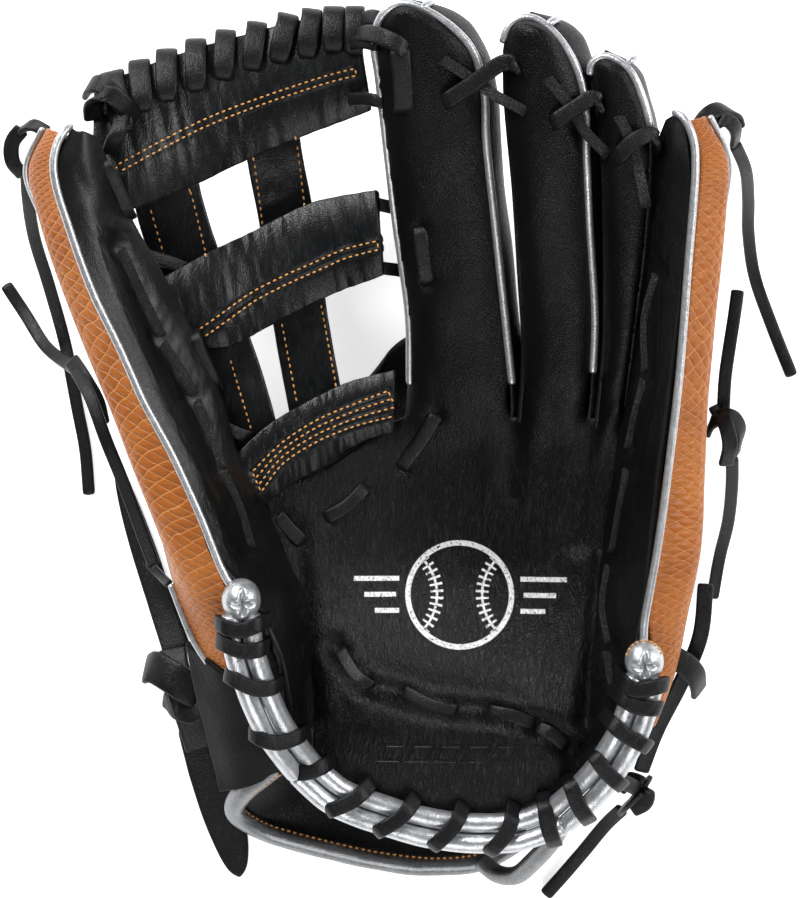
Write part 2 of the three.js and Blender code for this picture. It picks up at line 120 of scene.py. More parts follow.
def grow(bm, across, along, place, closed=False):
    # a grid whose points are moved to place(u, v); closed joins its two long sides into a tube
    made = bmesh.ops.create_grid(bm, x_segments=across, y_segments=along, size=0.5, calc_uvs=True)["verts"]
    for vertex in made:
        vertex.co = place(round((vertex.co.x + 0.5) * across), round((vertex.co.y + 0.5) * along))
    if closed:
        bmesh.ops.remove_doubles(bm, verts=made, dist=1e-6)
        alive = [vertex for vertex in made if vertex.is_valid]
        rims = {edge for vertex in alive for edge in vertex.link_edges if edge.is_boundary}
        bmesh.ops.holes_fill(bm, edges=list(rims), sides=0)


def surfaceGrid(bm, surface, across, along, uRange=(0, 1), vRange=(0, 1)):
    def place(i, j):
        u = uRange[0] + (uRange[1] - uRange[0]) * i / across
        v = vRange[0] + (vRange[1] - vRange[0]) * j / along
        return surface(u, v)
    grow(bm, across, along, place)


def sweep(bm, route, across, width, thick, sides=8, square=1.0, step=0.002, ends="flat"):
    # a closed cord or strip along a route; across is the direction of its width
    rows = max(int(route.length / step), 4)
    capRows = 3 if ends == "round" and rows > 8 else 0
    cap = min(0.5 * amount(width, 0.5), 0.3 * route.length) / route.length if capRows else 0
    stations = []
    for row in range(rows + 1):
        fromEnd = min(row, rows - row)
        size = 1
        if fromEnd < capRows:
            size = sin(fromEnd / capRows * pi / 2)
            share = cap * (1 - cos(fromEnd / capRows * pi / 2))
            share = share if row < rows / 2 else 1 - share
        else:
            share = cap + (1 - 2 * cap) * (row - capRows) / (rows - 2 * capRows)
        heading = route.heading(share)
        side = amount(across, share)
        side = (side - heading * side.dot(heading)).normalized()
        half = amount(width, share) / 2 * size
        rise = amount(thick, share) / 2 * (0.35 + 0.65 * size)
        stations.append((route.at(share), side * half, side.cross(heading) * rise))

    def place(i, j):
        centre, side, top = stations[j]
        angle = -2 * pi * (i % sides) / sides - pi / sides
        c, s = cos(angle), sin(angle)
        return (centre + side * (abs(c) ** square * (1 if c > 0 else -1))
                + top * (abs(s) ** square * (1 if s > 0 else -1)))
    grow(bm, sides, rows, place, closed=True)


def newMesh():
    bm = bmesh.new()
    bm.loops.layers.uv.new("UVMap")
    return bm


def relaxed(bm, verts, factor):
    bmesh.ops.smooth_vert(bm, verts=verts, factor=factor, use_axis_x=True, use_axis_y=True, use_axis_z=True)


def uneven(bm, scale, height):
    # soft lumps along the normals
    bm.normal_update()
    for vertex in bm.verts:
        vertex.co += vertex.normal * (noise.noise(vertex.co * scale) * height)


def hyphened(cadNode, ending):
    return cadNode.replace("_", "-") + "-" + ending


def finished(bm, name, finish, body=None, replaces=(), subdivide=1, wall=0, outward=False):
    # the bmesh as a named object with its finish, its body and the CAD nodes it stands for
    if outward:
        bmesh.ops.recalc_face_normals(bm, faces=bm.faces)
    mesh = bpy.data.meshes.new(name)
    bm.to_mesh(mesh)
    bm.free()
    mesh.polygons.foreach_set("use_smooth", [True] * len(mesh.polygons))
    piece = bpy.data.objects.new(name, mesh)
    scene.collection.objects.link(piece)
    mesh.materials.append(finish["material"])
    if wall:
        shell = piece.modifiers.new("wall", "SOLIDIFY")
        shell.thickness = wall
        shell.offset = -1
        shell.use_even_offset = False
    if subdivide:
        finer = piece.modifiers.new("finer", "SUBSURF")
        finer.levels = finer.render_levels = subdivide
    if body:
        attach(piece, body)
    if replaces:
        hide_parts(*replaces)
    return piece


# materials
def node(tree, kind, inputs=None, **settings):
    made = tree.nodes.new(kind)
    for key, value in settings.items():
        setattr(made, key, value)
    for key, value in (inputs or {}).items():
        if isinstance(value, bpy.types.NodeSocket):
            tree.links.new(value, made.inputs[key])
        else:
            made.inputs[key].default_value = value
    return made


def maths(tree, operation, first, second=0.0, clamp=False):
    return node(tree, "ShaderNodeMath", {0: first, 1: second}, operation=operation,
                use_clamp=clamp).outputs[0]


def spread(tree, value, low, high, toLow=0.0, toHigh=1.0):
    return node(tree, "ShaderNodeMapRange", {"Value": value, "From Min": low, "From Max": high,
                                             "To Min": toLow, "To Max": toHigh}).outputs[0]


def tinted(tree, factor, low, high):
    return node(tree, "ShaderNodeMix", {0: factor, 6: (*low, 1), 7: (*high, 1)}, data_type="RGBA").outputs[2]


def noiseOver(tree, vector, scale, detail, **more):
    return node(tree, "ShaderNodeTexNoise", {"Vector": vector, "Scale": scale, "Detail": detail,
                                             **more}).outputs["Fac"]


def edgesOver(tree, vector, scale):
    # distance from the edges of a net of cells
    return node(tree, "ShaderNodeTexVoronoi", {"Vector": vector, "Scale": scale},
                feature="DISTANCE_TO_EDGE").outputs["Distance"]


def raised(tree, shader, height, strength, distance):
    bump = node(tree, "ShaderNodeBump", {"Height": height, "Strength": strength, "Distance": distance})
    tree.links.new(bump.outputs[0], shader.inputs["Normal"])
    return bump


def shaderFor(name, **sockets):
    material = bpy.data.materials.new(name)
    material.use_nodes = True
    tree = material.node_tree
    shader = tree.nodes["Principled BSDF"]
    for key, value in sockets.items():
        shader.inputs[key.replace("_", " ")].default_value = value
    coords = node(tree, "ShaderNodeTexCoord").outputs["Object"]
    return material, tree, shader, coords


def leatherFinish(name, slotName, look):
    # hide: a net of fine creases over soft pulled wrinkles, paler on the fold crests in cloudy patches,
    # partly painted sheen on the crests and partly random tone
    material, tree, shader, coords = shaderFor(name, Specular_IOR_Level=look.get("shine", 0.4))
    pulled = node(tree, "ShaderNodeMapping", {"Vector": coords, "Scale": look["pull"],
                                              "Rotation": look.get("turn", (0, 0, 0))}).outputs[0]
    wrinkles = noiseOver(tree, pulled, 1.0, look.get("detail", 5.0), Roughness=0.55, Distortion=0.6)
    cells = edgesOver(tree, coords, look["grain"])
    pebble = spread(tree, cells, 0.0, 0.22)
    clouds = noiseOver(tree, coords, 38.0, 3.0)
    ridge = maths(tree, "ABSOLUTE", maths(tree, "SUBTRACT", wrinkles, 0.5))
    folds = spread(tree, ridge, 0.0, 0.16)
    if "calm" in look:
        # smoother towards the fingertips
        along = node(tree, "ShaderNodeSeparateXYZ", {0: coords}).outputs[1]
        calm = spread(tree, along, *look["calm"], 1.0, 0.12)
        folds = maths(tree, "MULTIPLY", folds, calm)
    height = maths(tree, "ADD", maths(tree, "MULTIPLY", pebble, look["pebble"]),
                   maths(tree, "MULTIPLY", folds, look["fold"]))
    # pale on the raised folds, broken up by cloud noise: painted sheen on the fold crests mixed with random
    # tone
    foldSheenAndTone = spread(tree, maths(tree, "MULTIPLY", folds, clouds), 0.18, 0.62)
    tree.links.new(tinted(tree, foldSheenAndTone, look["dark"], look["pale"]), shader.inputs["Base Color"])
    tree.links.new(spread(tree, clouds, 0.3, 0.7, *look["rough"]), shader.inputs["Roughness"])
    bump = raised(tree, shader, height, look["bump"], 0.0006)
    return {"material": material, "slot": slotName, "tree": tree, "shader": shader, "coords": coords,
            "height": height, "bump": bump}


palmHide = leatherFinish("palmHide", "black_leather", {
    "dark": (0.0019, 0.0018, 0.0018), "pale": (0.0115, 0.0103, 0.0097), "rough": (0.30, 0.40),
    "grain": 1250.0, "pebble": 0.2, "fold": 0.6, "bump": 0.5, "pull": (560.0, 170.0, 300.0), "shine": 0.2,
    "calm": (-0.02, 0.02)})
fingerHide = leatherFinish("fingerHide", "black_leather", {
    "dark": (0.0024, 0.0024, 0.0026), "pale": (0.0060, 0.0060, 0.0064), "rough": (0.31, 0.41),
    "grain": 1250.0, "pebble": 0.2, "fold": 0.1, "bump": 0.3, "pull": (380.0, 150.0, 260.0), "shine": 0.34})
webHide = leatherFinish("webHide", "web_leather", {
    "dark": (0.0028, 0.0031, 0.0036), "pale": (0.0085, 0.0096, 0.0106), "rough": (0.28, 0.4), "grain": 1100.0,
    "pebble": 0.15, "fold": 0.32, "bump": 0.34, "pull": (420.0, 150.0, 200.0), "detail": 3.0, "shine": 0.28})
backHide = leatherFinish("backHide", "black_leather", {
    "dark": (0.0042, 0.0042, 0.0045), "pale": (0.0120, 0.0120, 0.0126), "rough": (0.42, 0.55), "grain": 640.0,
    "pebble": 0.3, "fold": 0.3, "bump": 0.4, "pull": (260.0, 260.0, 260.0), "shine": 0.32})
# a darker copy of the back hide: painted shade for the side of the wrist under the thumb's heel
shadedSideHide = leatherFinish("shadedSideHide", "black_leather", {
    "dark": (0.0014, 0.0014, 0.0015), "pale": (0.0042, 0.0042, 0.0044), "rough": (0.55, 0.65), "grain": 800.0,
    "pebble": 0.3, "fold": 0.3, "bump": 0.4, "pull": (260.0, 260.0, 260.0), "shine": 0.12})
laceHide = leatherFinish("laceHide", "rawhide_lace", {
    "dark": (0.0040, 0.0043, 0.0049), "pale": (0.0095, 0.0108, 0.0122), "rough": (0.33, 0.45),
    "grain": 1300.0, "pebble": 0.25, "fold": 0.25, "bump": 0.35, "pull": (420.0, 300.0, 360.0),
    "shine": 0.27})
suedeHide = leatherFinish("suedeHide", "rawhide_lace", {
    "dark": (0.022, 0.022, 0.023), "pale": (0.19, 0.19, 0.195), "rough": (0.85, 0.95), "grain": 1900.0,
    "pebble": 0.9, "fold": 0.9, "bump": 1.0, "pull": (2100.0, 1900.0, 2000.0), "shine": 0.2})
liningHide = leatherFinish("liningHide", "lining_leather", {
    "dark": (0.012, 0.011, 0.009), "pale": (0.035, 0.031, 0.027), "rough": (0.7, 0.85), "grain": 700.0,
    "pebble": 0.4, "fold": 0.5, "bump": 0.5, "pull": (300.0, 300.0, 300.0), "shine": 0.25})
feltPad = leatherFinish("feltPad", "wool_felt", {
    "dark": (0.20, 0.19, 0.18), "pale": (0.34, 0.33, 0.31), "rough": (0.9, 1.0), "grain": 1500.0,
    "pebble": 0.9, "fold": 1.0, "bump": 1.0, "pull": (1200.0, 1200.0, 1200.0), "shine": 0.2})


def within(tree, value, low, high, soft=0.12):
    # 1 between low and high, with a soft edge, in the value's own units
    up = spread(tree, value, low - soft, low + soft)
    down = spread(tree, value, high - soft, high + soft, 1.0, 0.0)
    return maths(tree, "MULTIPLY", up, down)


emblem = {"centre": (11.5, -55), "radius": 19.5, "rim": 1.0, "seamCentre": 27.5, "seamRadius": 19.0,
          "barStart": 24.0, "barEnds": (40.0, 36.0, 32.0), "barPitch": 6.0}
pressed = {"centre": (7, -113.5), "pitch": 10.5, "halfLength": 26.0, "halfHeight": 3.4, "slant": 0.4}


def addFoilEmblem(finish):
    # a plain ball with two stitched seams between speed bars, in worn silver foil
    tree, shader = finish["tree"], finish["shader"]
    place = node(tree, "ShaderNodeSeparateXYZ", {0: node(tree, "ShaderNodeMapping", {
        "Vector": finish["coords"], "Scale": (1000.0, 1000.0, 0.0),
        "Location": (-emblem["centre"][0], -emblem["centre"][1], 0)}).outputs[0]})
    x, y = maths(tree, "ABSOLUTE", place.outputs[0]), place.outputs[1]
    square = lambda value: maths(tree, "MULTIPLY", value, value)
    fromCentre = maths(tree, "SQRT", maths(tree, "ADD", square(x), square(y)))
    ring = within(tree, fromCentre, emblem["radius"] - emblem["rim"], emblem["radius"] + emblem["rim"])
    shifted = maths(tree, "SUBTRACT", emblem["seamCentre"], x)
    fromSeam = maths(tree, "SQRT", maths(tree, "ADD", square(shifted), square(y)))
    seam = within(tree, fromSeam, emblem["seamRadius"] - 0.45, emblem["seamRadius"] + 0.45)
    turn = maths(tree, "ARCTAN2", y, shifted)
    ticks = within(tree, maths(tree, "PINGPONG", maths(tree, "MULTIPLY", turn, 7.5), 0.5), 0.34, 0.7, 0.04)
    ticks = maths(tree, "MULTIPLY", ticks, within(tree, fromSeam, emblem["seamRadius"] - 2.4,
                                                  emblem["seamRadius"] + 2.4))
    inside = spread(tree, fromCentre, emblem["radius"] - 1.4, emblem["radius"] - 1.0, 1.0, 0.0)
    mask = maths(tree, "MAXIMUM", ring, maths(tree, "MULTIPLY", maths(tree, "MAXIMUM", seam, ticks), inside))
    for row, end in zip((1, 0, -1), emblem["barEnds"]):
        middle = row * emblem["barPitch"]
        bar = maths(tree, "MULTIPLY", within(tree, y, middle - 0.9, middle + 0.9),
                    within(tree, x, emblem["barStart"] - abs(row) * 1.2, end))
        mask = maths(tree, "MAXIMUM", mask, bar)
    wear = noiseOver(tree, finish["coords"], 900.0, 5.0, Roughness=0.7)
    mask = maths(tree, "MULTIPLY", mask, spread(tree, wear, 0.36, 0.46))
    base = shader.inputs["Base Color"].links[0].from_socket
    rough = shader.inputs["Roughness"].links[0].from_socket
    mixed = node(tree, "ShaderNodeMix", {0: mask, 6: base, 7: (0.72, 0.72, 0.73, 1)},
                 data_type="RGBA").outputs[2]
    tree.links.new(mixed, shader.inputs["Base Color"])
    tree.links.new(spread(tree, mask, 0, 1, 0.0, 0.35), shader.inputs["Metallic"])
    roughMix = node(tree, "ShaderNodeMix", {0: mask, 2: rough, 3: 0.4}).outputs[0]
    tree.links.new(roughMix, shader.inputs["Roughness"])


def addPressedMark(finish):
    # a row of plain slanted lozenges pressed into the heel
    tree = finish["tree"]
    place = node(tree, "ShaderNodeSeparateXYZ", {0: node(tree, "ShaderNodeMapping", {
        "Vector": finish["coords"], "Scale": (1000.0, 1000.0, 0.0),
        "Location": (-pressed["centre"][0], -pressed["centre"][1], 0)}).outputs[0]})
    lean = maths(tree, "SUBTRACT", place.outputs[0],
                 maths(tree, "MULTIPLY", place.outputs[1], pressed["slant"]))
    cell = maths(tree, "PINGPONG", maths(tree, "DIVIDE", lean, pressed["pitch"]), 0.5)
    high = maths(tree, "ABSOLUTE", place.outputs[1])
    row = maths(tree, "MULTIPLY", within(tree, maths(tree, "ABSOLUTE", lean), -9, pressed["halfLength"]),
                within(tree, high, -9, pressed["halfHeight"]))
    outer = maths(tree, "MULTIPLY", within(tree, cell, -1, 0.40, 0.012), row)
    inner = maths(tree, "MULTIPLY", within(tree, cell, -1, 0.30, 0.012),
                  within(tree, high, -9, pressed["halfHeight"] - 1.0))
    inner = maths(tree, "MULTIPLY", inner, row)
    line = maths(tree, "SUBTRACT", outer, maths(tree, "MULTIPLY", inner, 0.55))
    sunk = maths(tree, "SUBTRACT", finish["height"], maths(tree, "MULTIPLY", line, 3.2))
    tree.links.new(sunk, finish["bump"].inputs["Height"])


addFoilEmblem(palmHide)
addPressedMark(palmHide)


def silverFinish(name, low, high):
    # foil-faced leather: crinkled, with a painted highlight on the crowns and painted shade where it creases
    material, tree, shader, coords = shaderFor(name, Metallic=0.8)
    crinkle = noiseOver(tree, coords, 520.0, 6.0, Roughness=0.6, Distortion=0.6)
    cells = edgesOver(tree, coords, 900.0)
    clouds = noiseOver(tree, coords, 60.0, 3.0)
    height = maths(tree, "ADD", maths(tree, "MULTIPLY", crinkle, 0.9),
                   spread(tree, cells, 0.0, 0.2, 0.0, 0.3))
    # brightness follows the crinkle height, with some cloudy random tone: painted highlight on the crowns,
    # painted shade in the creases
    crinkleLightAndShade = spread(tree, maths(tree, "ADD", crinkle, maths(tree, "MULTIPLY", clouds, 0.4)), 0.45, 0.95)
    tree.links.new(tinted(tree, crinkleLightAndShade, (low, low * 1.02, low * 1.06), (high, high * 1.02, high * 1.05)),
                   shader.inputs["Base Color"])
    tree.links.new(spread(tree, crinkle, 0.3, 0.7, 0.30, 0.42), shader.inputs["Roughness"])
    raised(tree, shader, height, 0.4, 0.0003)
    return {"material": material, "slot": "silver_leather"}


def scaleFinish(name, cellsAcross, cellsAlong):
    # tan hide pressed with a net of lozenge scales whose creases are paler than the scales
    material, tree, shader, coords = shaderFor(name, Specular_IOR_Level=0.3)
    uv = node(tree, "ShaderNodeTexCoord").outputs["UV"]
    drift = noiseOver(tree, coords, 130.0, 2.0)
    slowDrift = noiseOver(tree, coords, 90.0, 1.0)
    parts = node(tree, "ShaderNodeSeparateXYZ", {0: uv})
    across = maths(tree, "ADD", maths(tree, "MULTIPLY", parts.outputs[0], cellsAcross),
                   maths(tree, "MULTIPLY", drift, 0.5))
    along = maths(tree, "ADD", maths(tree, "MULTIPLY", parts.outputs[1], cellsAlong),
                  maths(tree, "MULTIPLY", slowDrift, 0.6))
    slantA = maths(tree, "PINGPONG", maths(tree, "ADD", across, along), 0.5)
    slantB = maths(tree, "PINGPONG", maths(tree, "SUBTRACT", across, along), 0.5)
    edge = maths(tree, "SMOOTH_MIN", slantA, slantB)
    edge.node.inputs[2].default_value = 0.12
    fine = noiseOver(tree, coords, 900.0, 4.0)
    clouds = noiseOver(tree, coords, 55.0, 3.0)
    scale = spread(tree, edge, 0.015, 0.1)
    dome = spread(tree, edge, 0.0, 0.42)
    base = tinted(tree, spread(tree, clouds, 0.35, 0.68), (0.33, 0.090, 0.014), (0.45, 0.142, 0.026))
    pale = node(tree, "ShaderNodeMix", {0: scale, 6: (0.58, 0.22, 0.055, 1), 7: base},
                data_type="RGBA").outputs[2]
    tree.links.new(pale, shader.inputs["Base Color"])
    tree.links.new(spread(tree, fine, 0.3, 0.7, 0.34, 0.5), shader.inputs["Roughness"])
    height = maths(tree, "ADD", maths(tree, "ADD", scale, maths(tree, "MULTIPLY", dome, 0.8)),
                   maths(tree, "MULTIPLY", fine, 0.18))
    raised(tree, shader, height, 0.75, 0.0006)
    return {"material": material, "slot": "tan_embossed_leather"}


def threadFinish():
    material, tree, shader, coords = shaderFor("orangeThread")
    twist = node(tree, "ShaderNodeTexWave", {"Vector": coords, "Scale": 900.0, "Distortion": 2.0},
                 bands_direction="DIAGONAL").outputs["Fac"]
    tree.links.new(tinted(tree, twist, (0.48, 0.15, 0.02), (0.95, 0.52, 0.16)), shader.inputs["Base Color"])
    tree.links.new(spread(tree, twist, 0, 1, 0.45, 0.65), shader.inputs["Roughness"])
    raised(tree, shader, twist, 0.6, 0.0003)
    return {"material": material, "slot": "web_leather"}


silverHide = silverFinish("silverHide", 0.42, 0.62)
# a darker copy of the silver foil: painted shade for the strap's rolled edge and the binding's tab low under
# the heel
silverShaded = silverFinish("silverShaded", 0.16, 0.3)
thumbScale = scaleFinish("thumbScale", 4.6, 58.0)
littleScale = scaleFinish("littleScale", 4.4, 60.0)
orangeThread = threadFinish()
print("glove: materials made")

# loose lace ends: route points from the CAD tails, width and thickness in metres
tails = {
    "thong_upper_end": {"body": "thumb", "width": 0.010, "points": [
        [-97, -78, 8], [-102, -64, 5], [-108, -46, 3.4], [-114, -28, 2.4], [-121, -6, 2.2]]},
    "thong_lower_end": {"body": "thumb", "width": 0.010, "points": [
        [-91, -106, 6], [-87, -118, 4], [-82, -134, 2.6], [-77, -150, 2.2], [-73, -166, 2.2]]},
    "thumb_tip_tail": {"body": "thumb", "width": 0.005, "points": [
        [-149, 104, 76], [-149.5, 94, 64], [-149, 80, 44], [-145, 62, 24], [-140, 40, 10], [-136, 16, 3],
        [-133, 0, 2.2], [-131.5, -18, 2.2]]},
    "thumb_side_tail": {"body": "thumb", "width": 0.005, "points": [
        [-134, 30, 32], [-139, 33, 20], [-148, 40, 9], [-156, 52, 3], [-164, 64, 2.2]]},
    "little_top_tail": {"body": "little_finger", "width": 0.005, "points": [
        [112, 112, 84], [117, 104, 70], [120, 94, 48], [122, 82, 26], [126, 66, 9], [133, 48, 2.6],
        [141, 28, 2.2]]},
    "little_side_tail": {"body": "little_finger", "width": 0.005, "points": [
        [113, -3, 60], [114, -14, 46], [114, -28, 28], [112, -42, 12], [110, -58, 2.6]]},
    "heel_tail": {"body": "little_finger", "width": 0.0055, "points": [
        [74, -137, 28], [68, -144, 18], [60, -155, 9], [52, -165, 4.4], [45, -173, 3]]},
}


def flatAcross(route):
    # a strip's width lies level, square to its path
    return lambda share: route.heading(share).cross(upward)


def thongWidth(low, high, tip):
    # narrow where it leaves the knot, full in the middle and pointed at the tip
    def at(share):
        body = low + (high - low) * min(share / 0.3, 1) ** 0.7
        return max(body * sqrt(max(1 - max((share - tip) / (1 - tip), 0) ** 2, 0)), 0.0006)
    return at


thongShapes = {"thong_upper_end": thongWidth(0.0115, 0.0105, 0.35),
               "thong_lower_end": thongWidth(0.013, 0.0165, 0.5)}
for name, tail in tails.items():
    route = Route(rail(*tail["points"]))
    bm = newMesh()
    thin = 0.0026 if name in thongShapes else 0.0024
    sweep(bm, route, flatAcross(route), thongShapes.get(name, tail["width"]), thin, sides=12, square=0.5,
          step=0.0022)
    piece = finished(bm, hyphened(name, "lace"), laceHide, tail["body"], (name,),
                     outward=True)
    route.at(0)
    [route.at(i / 24) for i in range(25)]
print("glove: lace ends laid")

# front hide: the palm and the three middle fingers, in one piece
palmSurface = loft(
    rail([-46, -117, 52], [-46, -92, 47], [-49, -68, 41], [-53, -48, 39.5], [-60, -30, 42], [-67, -18, 45.5]),
    rail([-24, -129, 51], [-24, -100, 57], [-26, -70, 44], [-30, -46, 38], [-36, -24, 40], [-38, -5, 44]),
    rail([0, -136.5, 51], [0, -106, 62], [-2, -76, 46], [-6, -46, 36], [-8, -20, 38], [-11, 12, 45]),
    rail([26, -138, 52], [24, -107, 64], [22, -78, 50], [21, -46, 42], [24, -20, 46], [29, 12, 54]),
    rail([48, -130, 57], [47, -105, 63], [47, -78, 57], [47, -46, 52], [50, -20, 56], [54, 12, 63]),
    rail([60, -119, 59], [64, -97, 60], [66, -76, 60], [68, -46, 60], [70, -20, 63], [73, 12, 68]),
)
fingers = {
    "index": {"crown": 5.5, "bulge": 15, "body": "palm",
              "left": rail([-11, -8, 37], [-10, 6, 43], [-8, 24, 49], [-8.5, 50, 57], [-13, 82, 66],
                           [-17, 114, 80], [-19.5, 136, 88], [-20.5, 150, 91], [-17, 159, 94],
                           [-10, 162.5, 96]),
              "right": rail([30, -8, 44], [31, 8, 53], [31, 24, 57], [28, 50, 64], [24, 84, 76],
                            [20.5, 114, 87], [19.5, 132, 93], [15, 146, 96], [4, 156.5, 97],
                            [-10, 162.5, 96]),
              "under": rail([9, -8, 2], [9, 6, 4], [9, 24, 7], [8, 50, 13], [5, 82, 32], [1, 114, 51],
                            [-1, 134, 60], [-2, 149, 68], [-3, 160, 80], [-10, 162.5, 95])},
    "middle": {"crown": 6.5, "bulge": 15, "body": "palm",
               "left": rail([32, -8, 46], [33, 8, 56], [34, 26, 62], [33.6, 50, 70], [31, 81, 83],
                            [27.5, 114, 95], [26, 134, 100], [26, 147, 102], [29, 154, 103.5],
                            [36, 156.5, 104]),
               "right": rail([57, -8, 54], [59, 8, 63], [60.5, 28, 69], [61, 48, 75], [58.5, 82, 86],
                             [56.8, 108, 97], [56, 127, 103], [52.5, 139, 105], [45, 150.5, 105],
                             [36, 156.5, 104]),
               "under": rail([45, -8, 14], [46, 6, 16], [47, 24, 19], [47, 48, 28], [46, 82, 47],
                             [44, 114, 63], [43, 132, 72], [42, 146, 80], [41, 155, 90], [36, 156.5, 103])},
    "ring": {"crown": 5, "bulge": 9, "body": "palm",
             "left": rail([60, -8, 58], [61.5, 8, 65], [63, 24, 70], [64, 44, 76], [63, 80, 90],
                          [61.5, 108, 99], [59.5, 124, 103], [57.7, 135, 106], [58.5, 140, 107.5],
                          [63, 142, 108.5]),
             "right": rail([70, -8, 61], [72, 8, 69], [74, 28, 76], [76.5, 50, 84], [79, 78, 94],
                           [80.3, 104, 102], [79.7, 116, 106.5], [76.5, 127, 109], [71.5, 137, 110],
                           [63, 142, 108.5]),
             "under": rail([66, -8, 30], [67, 6, 34], [69, 24, 39], [71, 46, 47], [72, 84, 60], [71, 112, 71],
                           [70, 122, 77], [68.5, 132, 84], [67, 139.5, 94], [63, 142, 107.5])},
}


def fingerFront(finger):
    # crowned between its two seams, fuller beside them than a plain arc
    def at(u, v):
        left, right = smoothPoint(finger["left"], v), smoothPoint(finger["right"], v)
        span = (right - left).length
        rise = min(finger["crown"] / 1000, span * 0.36) * (1 - abs(2 * u - 1) ** 2.8) * min(v / 0.22, 1)
        return left.lerp(right, u) + upward * rise - Vector((0, 0, 0.0006))
    return at


def fingerBack(finger):
    # a deep rounded trough from one seam under to the other, closed over the tip
    def at(u, v):
        left, right = smoothPoint(finger["left"], v), smoothPoint(finger["right"], v)
        under = smoothPoint(finger["under"], v)
        turn = cos(pi * u)
        across = (1 - (abs(turn) ** 0.55) * (1 if turn > 0 else -1)) / 2
        drop = max(sin(pi * u), 0) ** 0.75
        edge = left.lerp(right, across)
        chord = left.lerp(right, 0.5)
        point = edge + (under - chord) * drop
        bulge = finger["bulge"] * (1.35 - 0.4 * v) / 1000 * min(v / 0.12, 1) * min((1 - v) / 0.14, 1) ** 0.7
        overhang = bulge * max(sin(pi * u), 0) ** 0.7
        away = (right - left).normalized() if (right - left).length > 1e-5 else Vector((1, 0, 0))
        beyond = 0.0024 * max(min((v - 0.6) / 0.3, 1), 0) * drop
        return point + away * overhang * (u ** 1.5) + Vector((0, beyond, 0))
    return at


def leatherShell(bm, surface, across, along, thickness, uRange=(0, 1), vRange=(0, 1)):
    part = newMesh()
    surfaceGrid(part, surface, across, along, uRange, vRange)
    bmesh.ops.remove_doubles(part, verts=part.verts, dist=1e-5)
    bmesh.ops.solidify(part, geom=part.faces[:] + part.edges[:] + part.verts[:], thickness=thickness)
    mesh = bpy.data.meshes.new("part")
    part.to_mesh(mesh)
    part.free()
    bm.from_mesh(mesh)
    bpy.data.meshes.remove(mesh)


def remeshed(bm, voxel, smoothing):
    # joins overlapping shells into one skin and relaxes it
    mesh = bpy.data.meshes.new("rough")
    bm.to_mesh(mesh)
    bm.free()
    rough = bpy.data.objects.new("rough", mesh)
    scene.collection.objects.link(rough)
    skin = rough.modifiers.new("skin", "REMESH")
    skin.mode = "VOXEL"
    skin.voxel_size = voxel
    bpy.context.view_layer.update()
    made = bpy.data.meshes.new_from_object(rough.evaluated_get(bpy.context.evaluated_depsgraph_get()))
    bpy.data.objects.remove(rough)
    joined = bmesh.new()
    joined.loops.layers.uv.new("UVMap")
    joined.from_mesh(made)
    bpy.data.meshes.remove(made)
    for _ in range(smoothing):
        relaxed(joined, joined.verts, 0.5)
    return joined


def nearLine(x, y, line):
    # distance from a place to a polyline, seen from above, all in millimetres
    best = 1e9
    for (ax, ay), (bx, by) in zip(line, line[1:]):
        dx, dy = bx - ax, by - ay
        share = max(min(((x - ax) * dx + (y - ay) * dy) / (dx * dx + dy * dy), 1), 0)
        best = min(best, hypot(x - ax - share * dx, y - ay - share * dy))
    return best


# laces that lie on the fronts, seen from above in millimetres: the ends go down into their holes
laid = {
    "palm_arch_lace": {"body": "palm", "width": 5.4, "finish": laceHide, "runs": [
        [(-33.5, -76), (-28, -84.5), (-22, -89.5)],
        [(-9.5, -91), (1, -96), (9.7, -98)], [(22, -98), (31, -99.5), (39, -102.5)],
        [(40.5, -104), (46, -106.5), (51, -111)],
        [(-3.4, 81.8), (-2.6, 72), (-0.8, 62)], [(2.8, 12.6), (-3, 3), (-10.5, -7)],
        [(-39, -26), (-31, -21.5), (-24, -14.5)], [(-57, -25), (-53, -30), (-48, -35)]]},
    "thumb_edge_lace": {"body": "thumb", "width": 4.0, "finish": suedeHide, "runs": [
        [(-112.9, 72.5), (-106, 57), (-99, 42)], [(-98.2, 38.5), (-92, 29), (-87.4, 20.5)],
        [(-86.2, 17.5), (-81, 5), (-77, -7)], [(-75.5, -11), (-70, -24), (-66.5, -36)]]},
    "little_edge_lace": {"body": "little_finger", "width": 3.2, "finish": suedeHide, "runs": [
        [(82.5, 63.5), (79, 49), (79, 29)], [(78.5, 25), (75.5, 12), (73.6, 1)],
        [(73, -8), (70.5, -22), (68, -38)], [(66.6, -44), (64.6, -58), (66.5, -72)],
        [(66, -76), (67.4, -86), (71, -94)]]},
}
creases = [
    ([(-52, -28), (-49, -50), (-46, -75), (-44, -100)], 5.0, 2.2),
    ([(71, 8), (66, -18), (63.5, -45), (62, -72), (58, -100)], 4.0, 1.8),
    ([(60.5, 12), (60, -6), (57, -34)], 6.0, 1.3),
    ([(32, 12), (31.5, -2), (30, -16)], 5.0, 1.0),
    ([(-36, -74), (-24, -88), (0, -95), (24, -98), (44, -104), (56, -114)], 4.5, 2.0),
]
grooves = [
    ([(-114, 75), (-99, 41), (-87, 19), (-77, -8), (-66, -38)], 4.4, 2.6),
    ([(83, 66), (79, 45), (79, 26), (73, 0), (70, -22), (66, -40), (65, -60), (68, -85)], 3.6, 1.8),
]


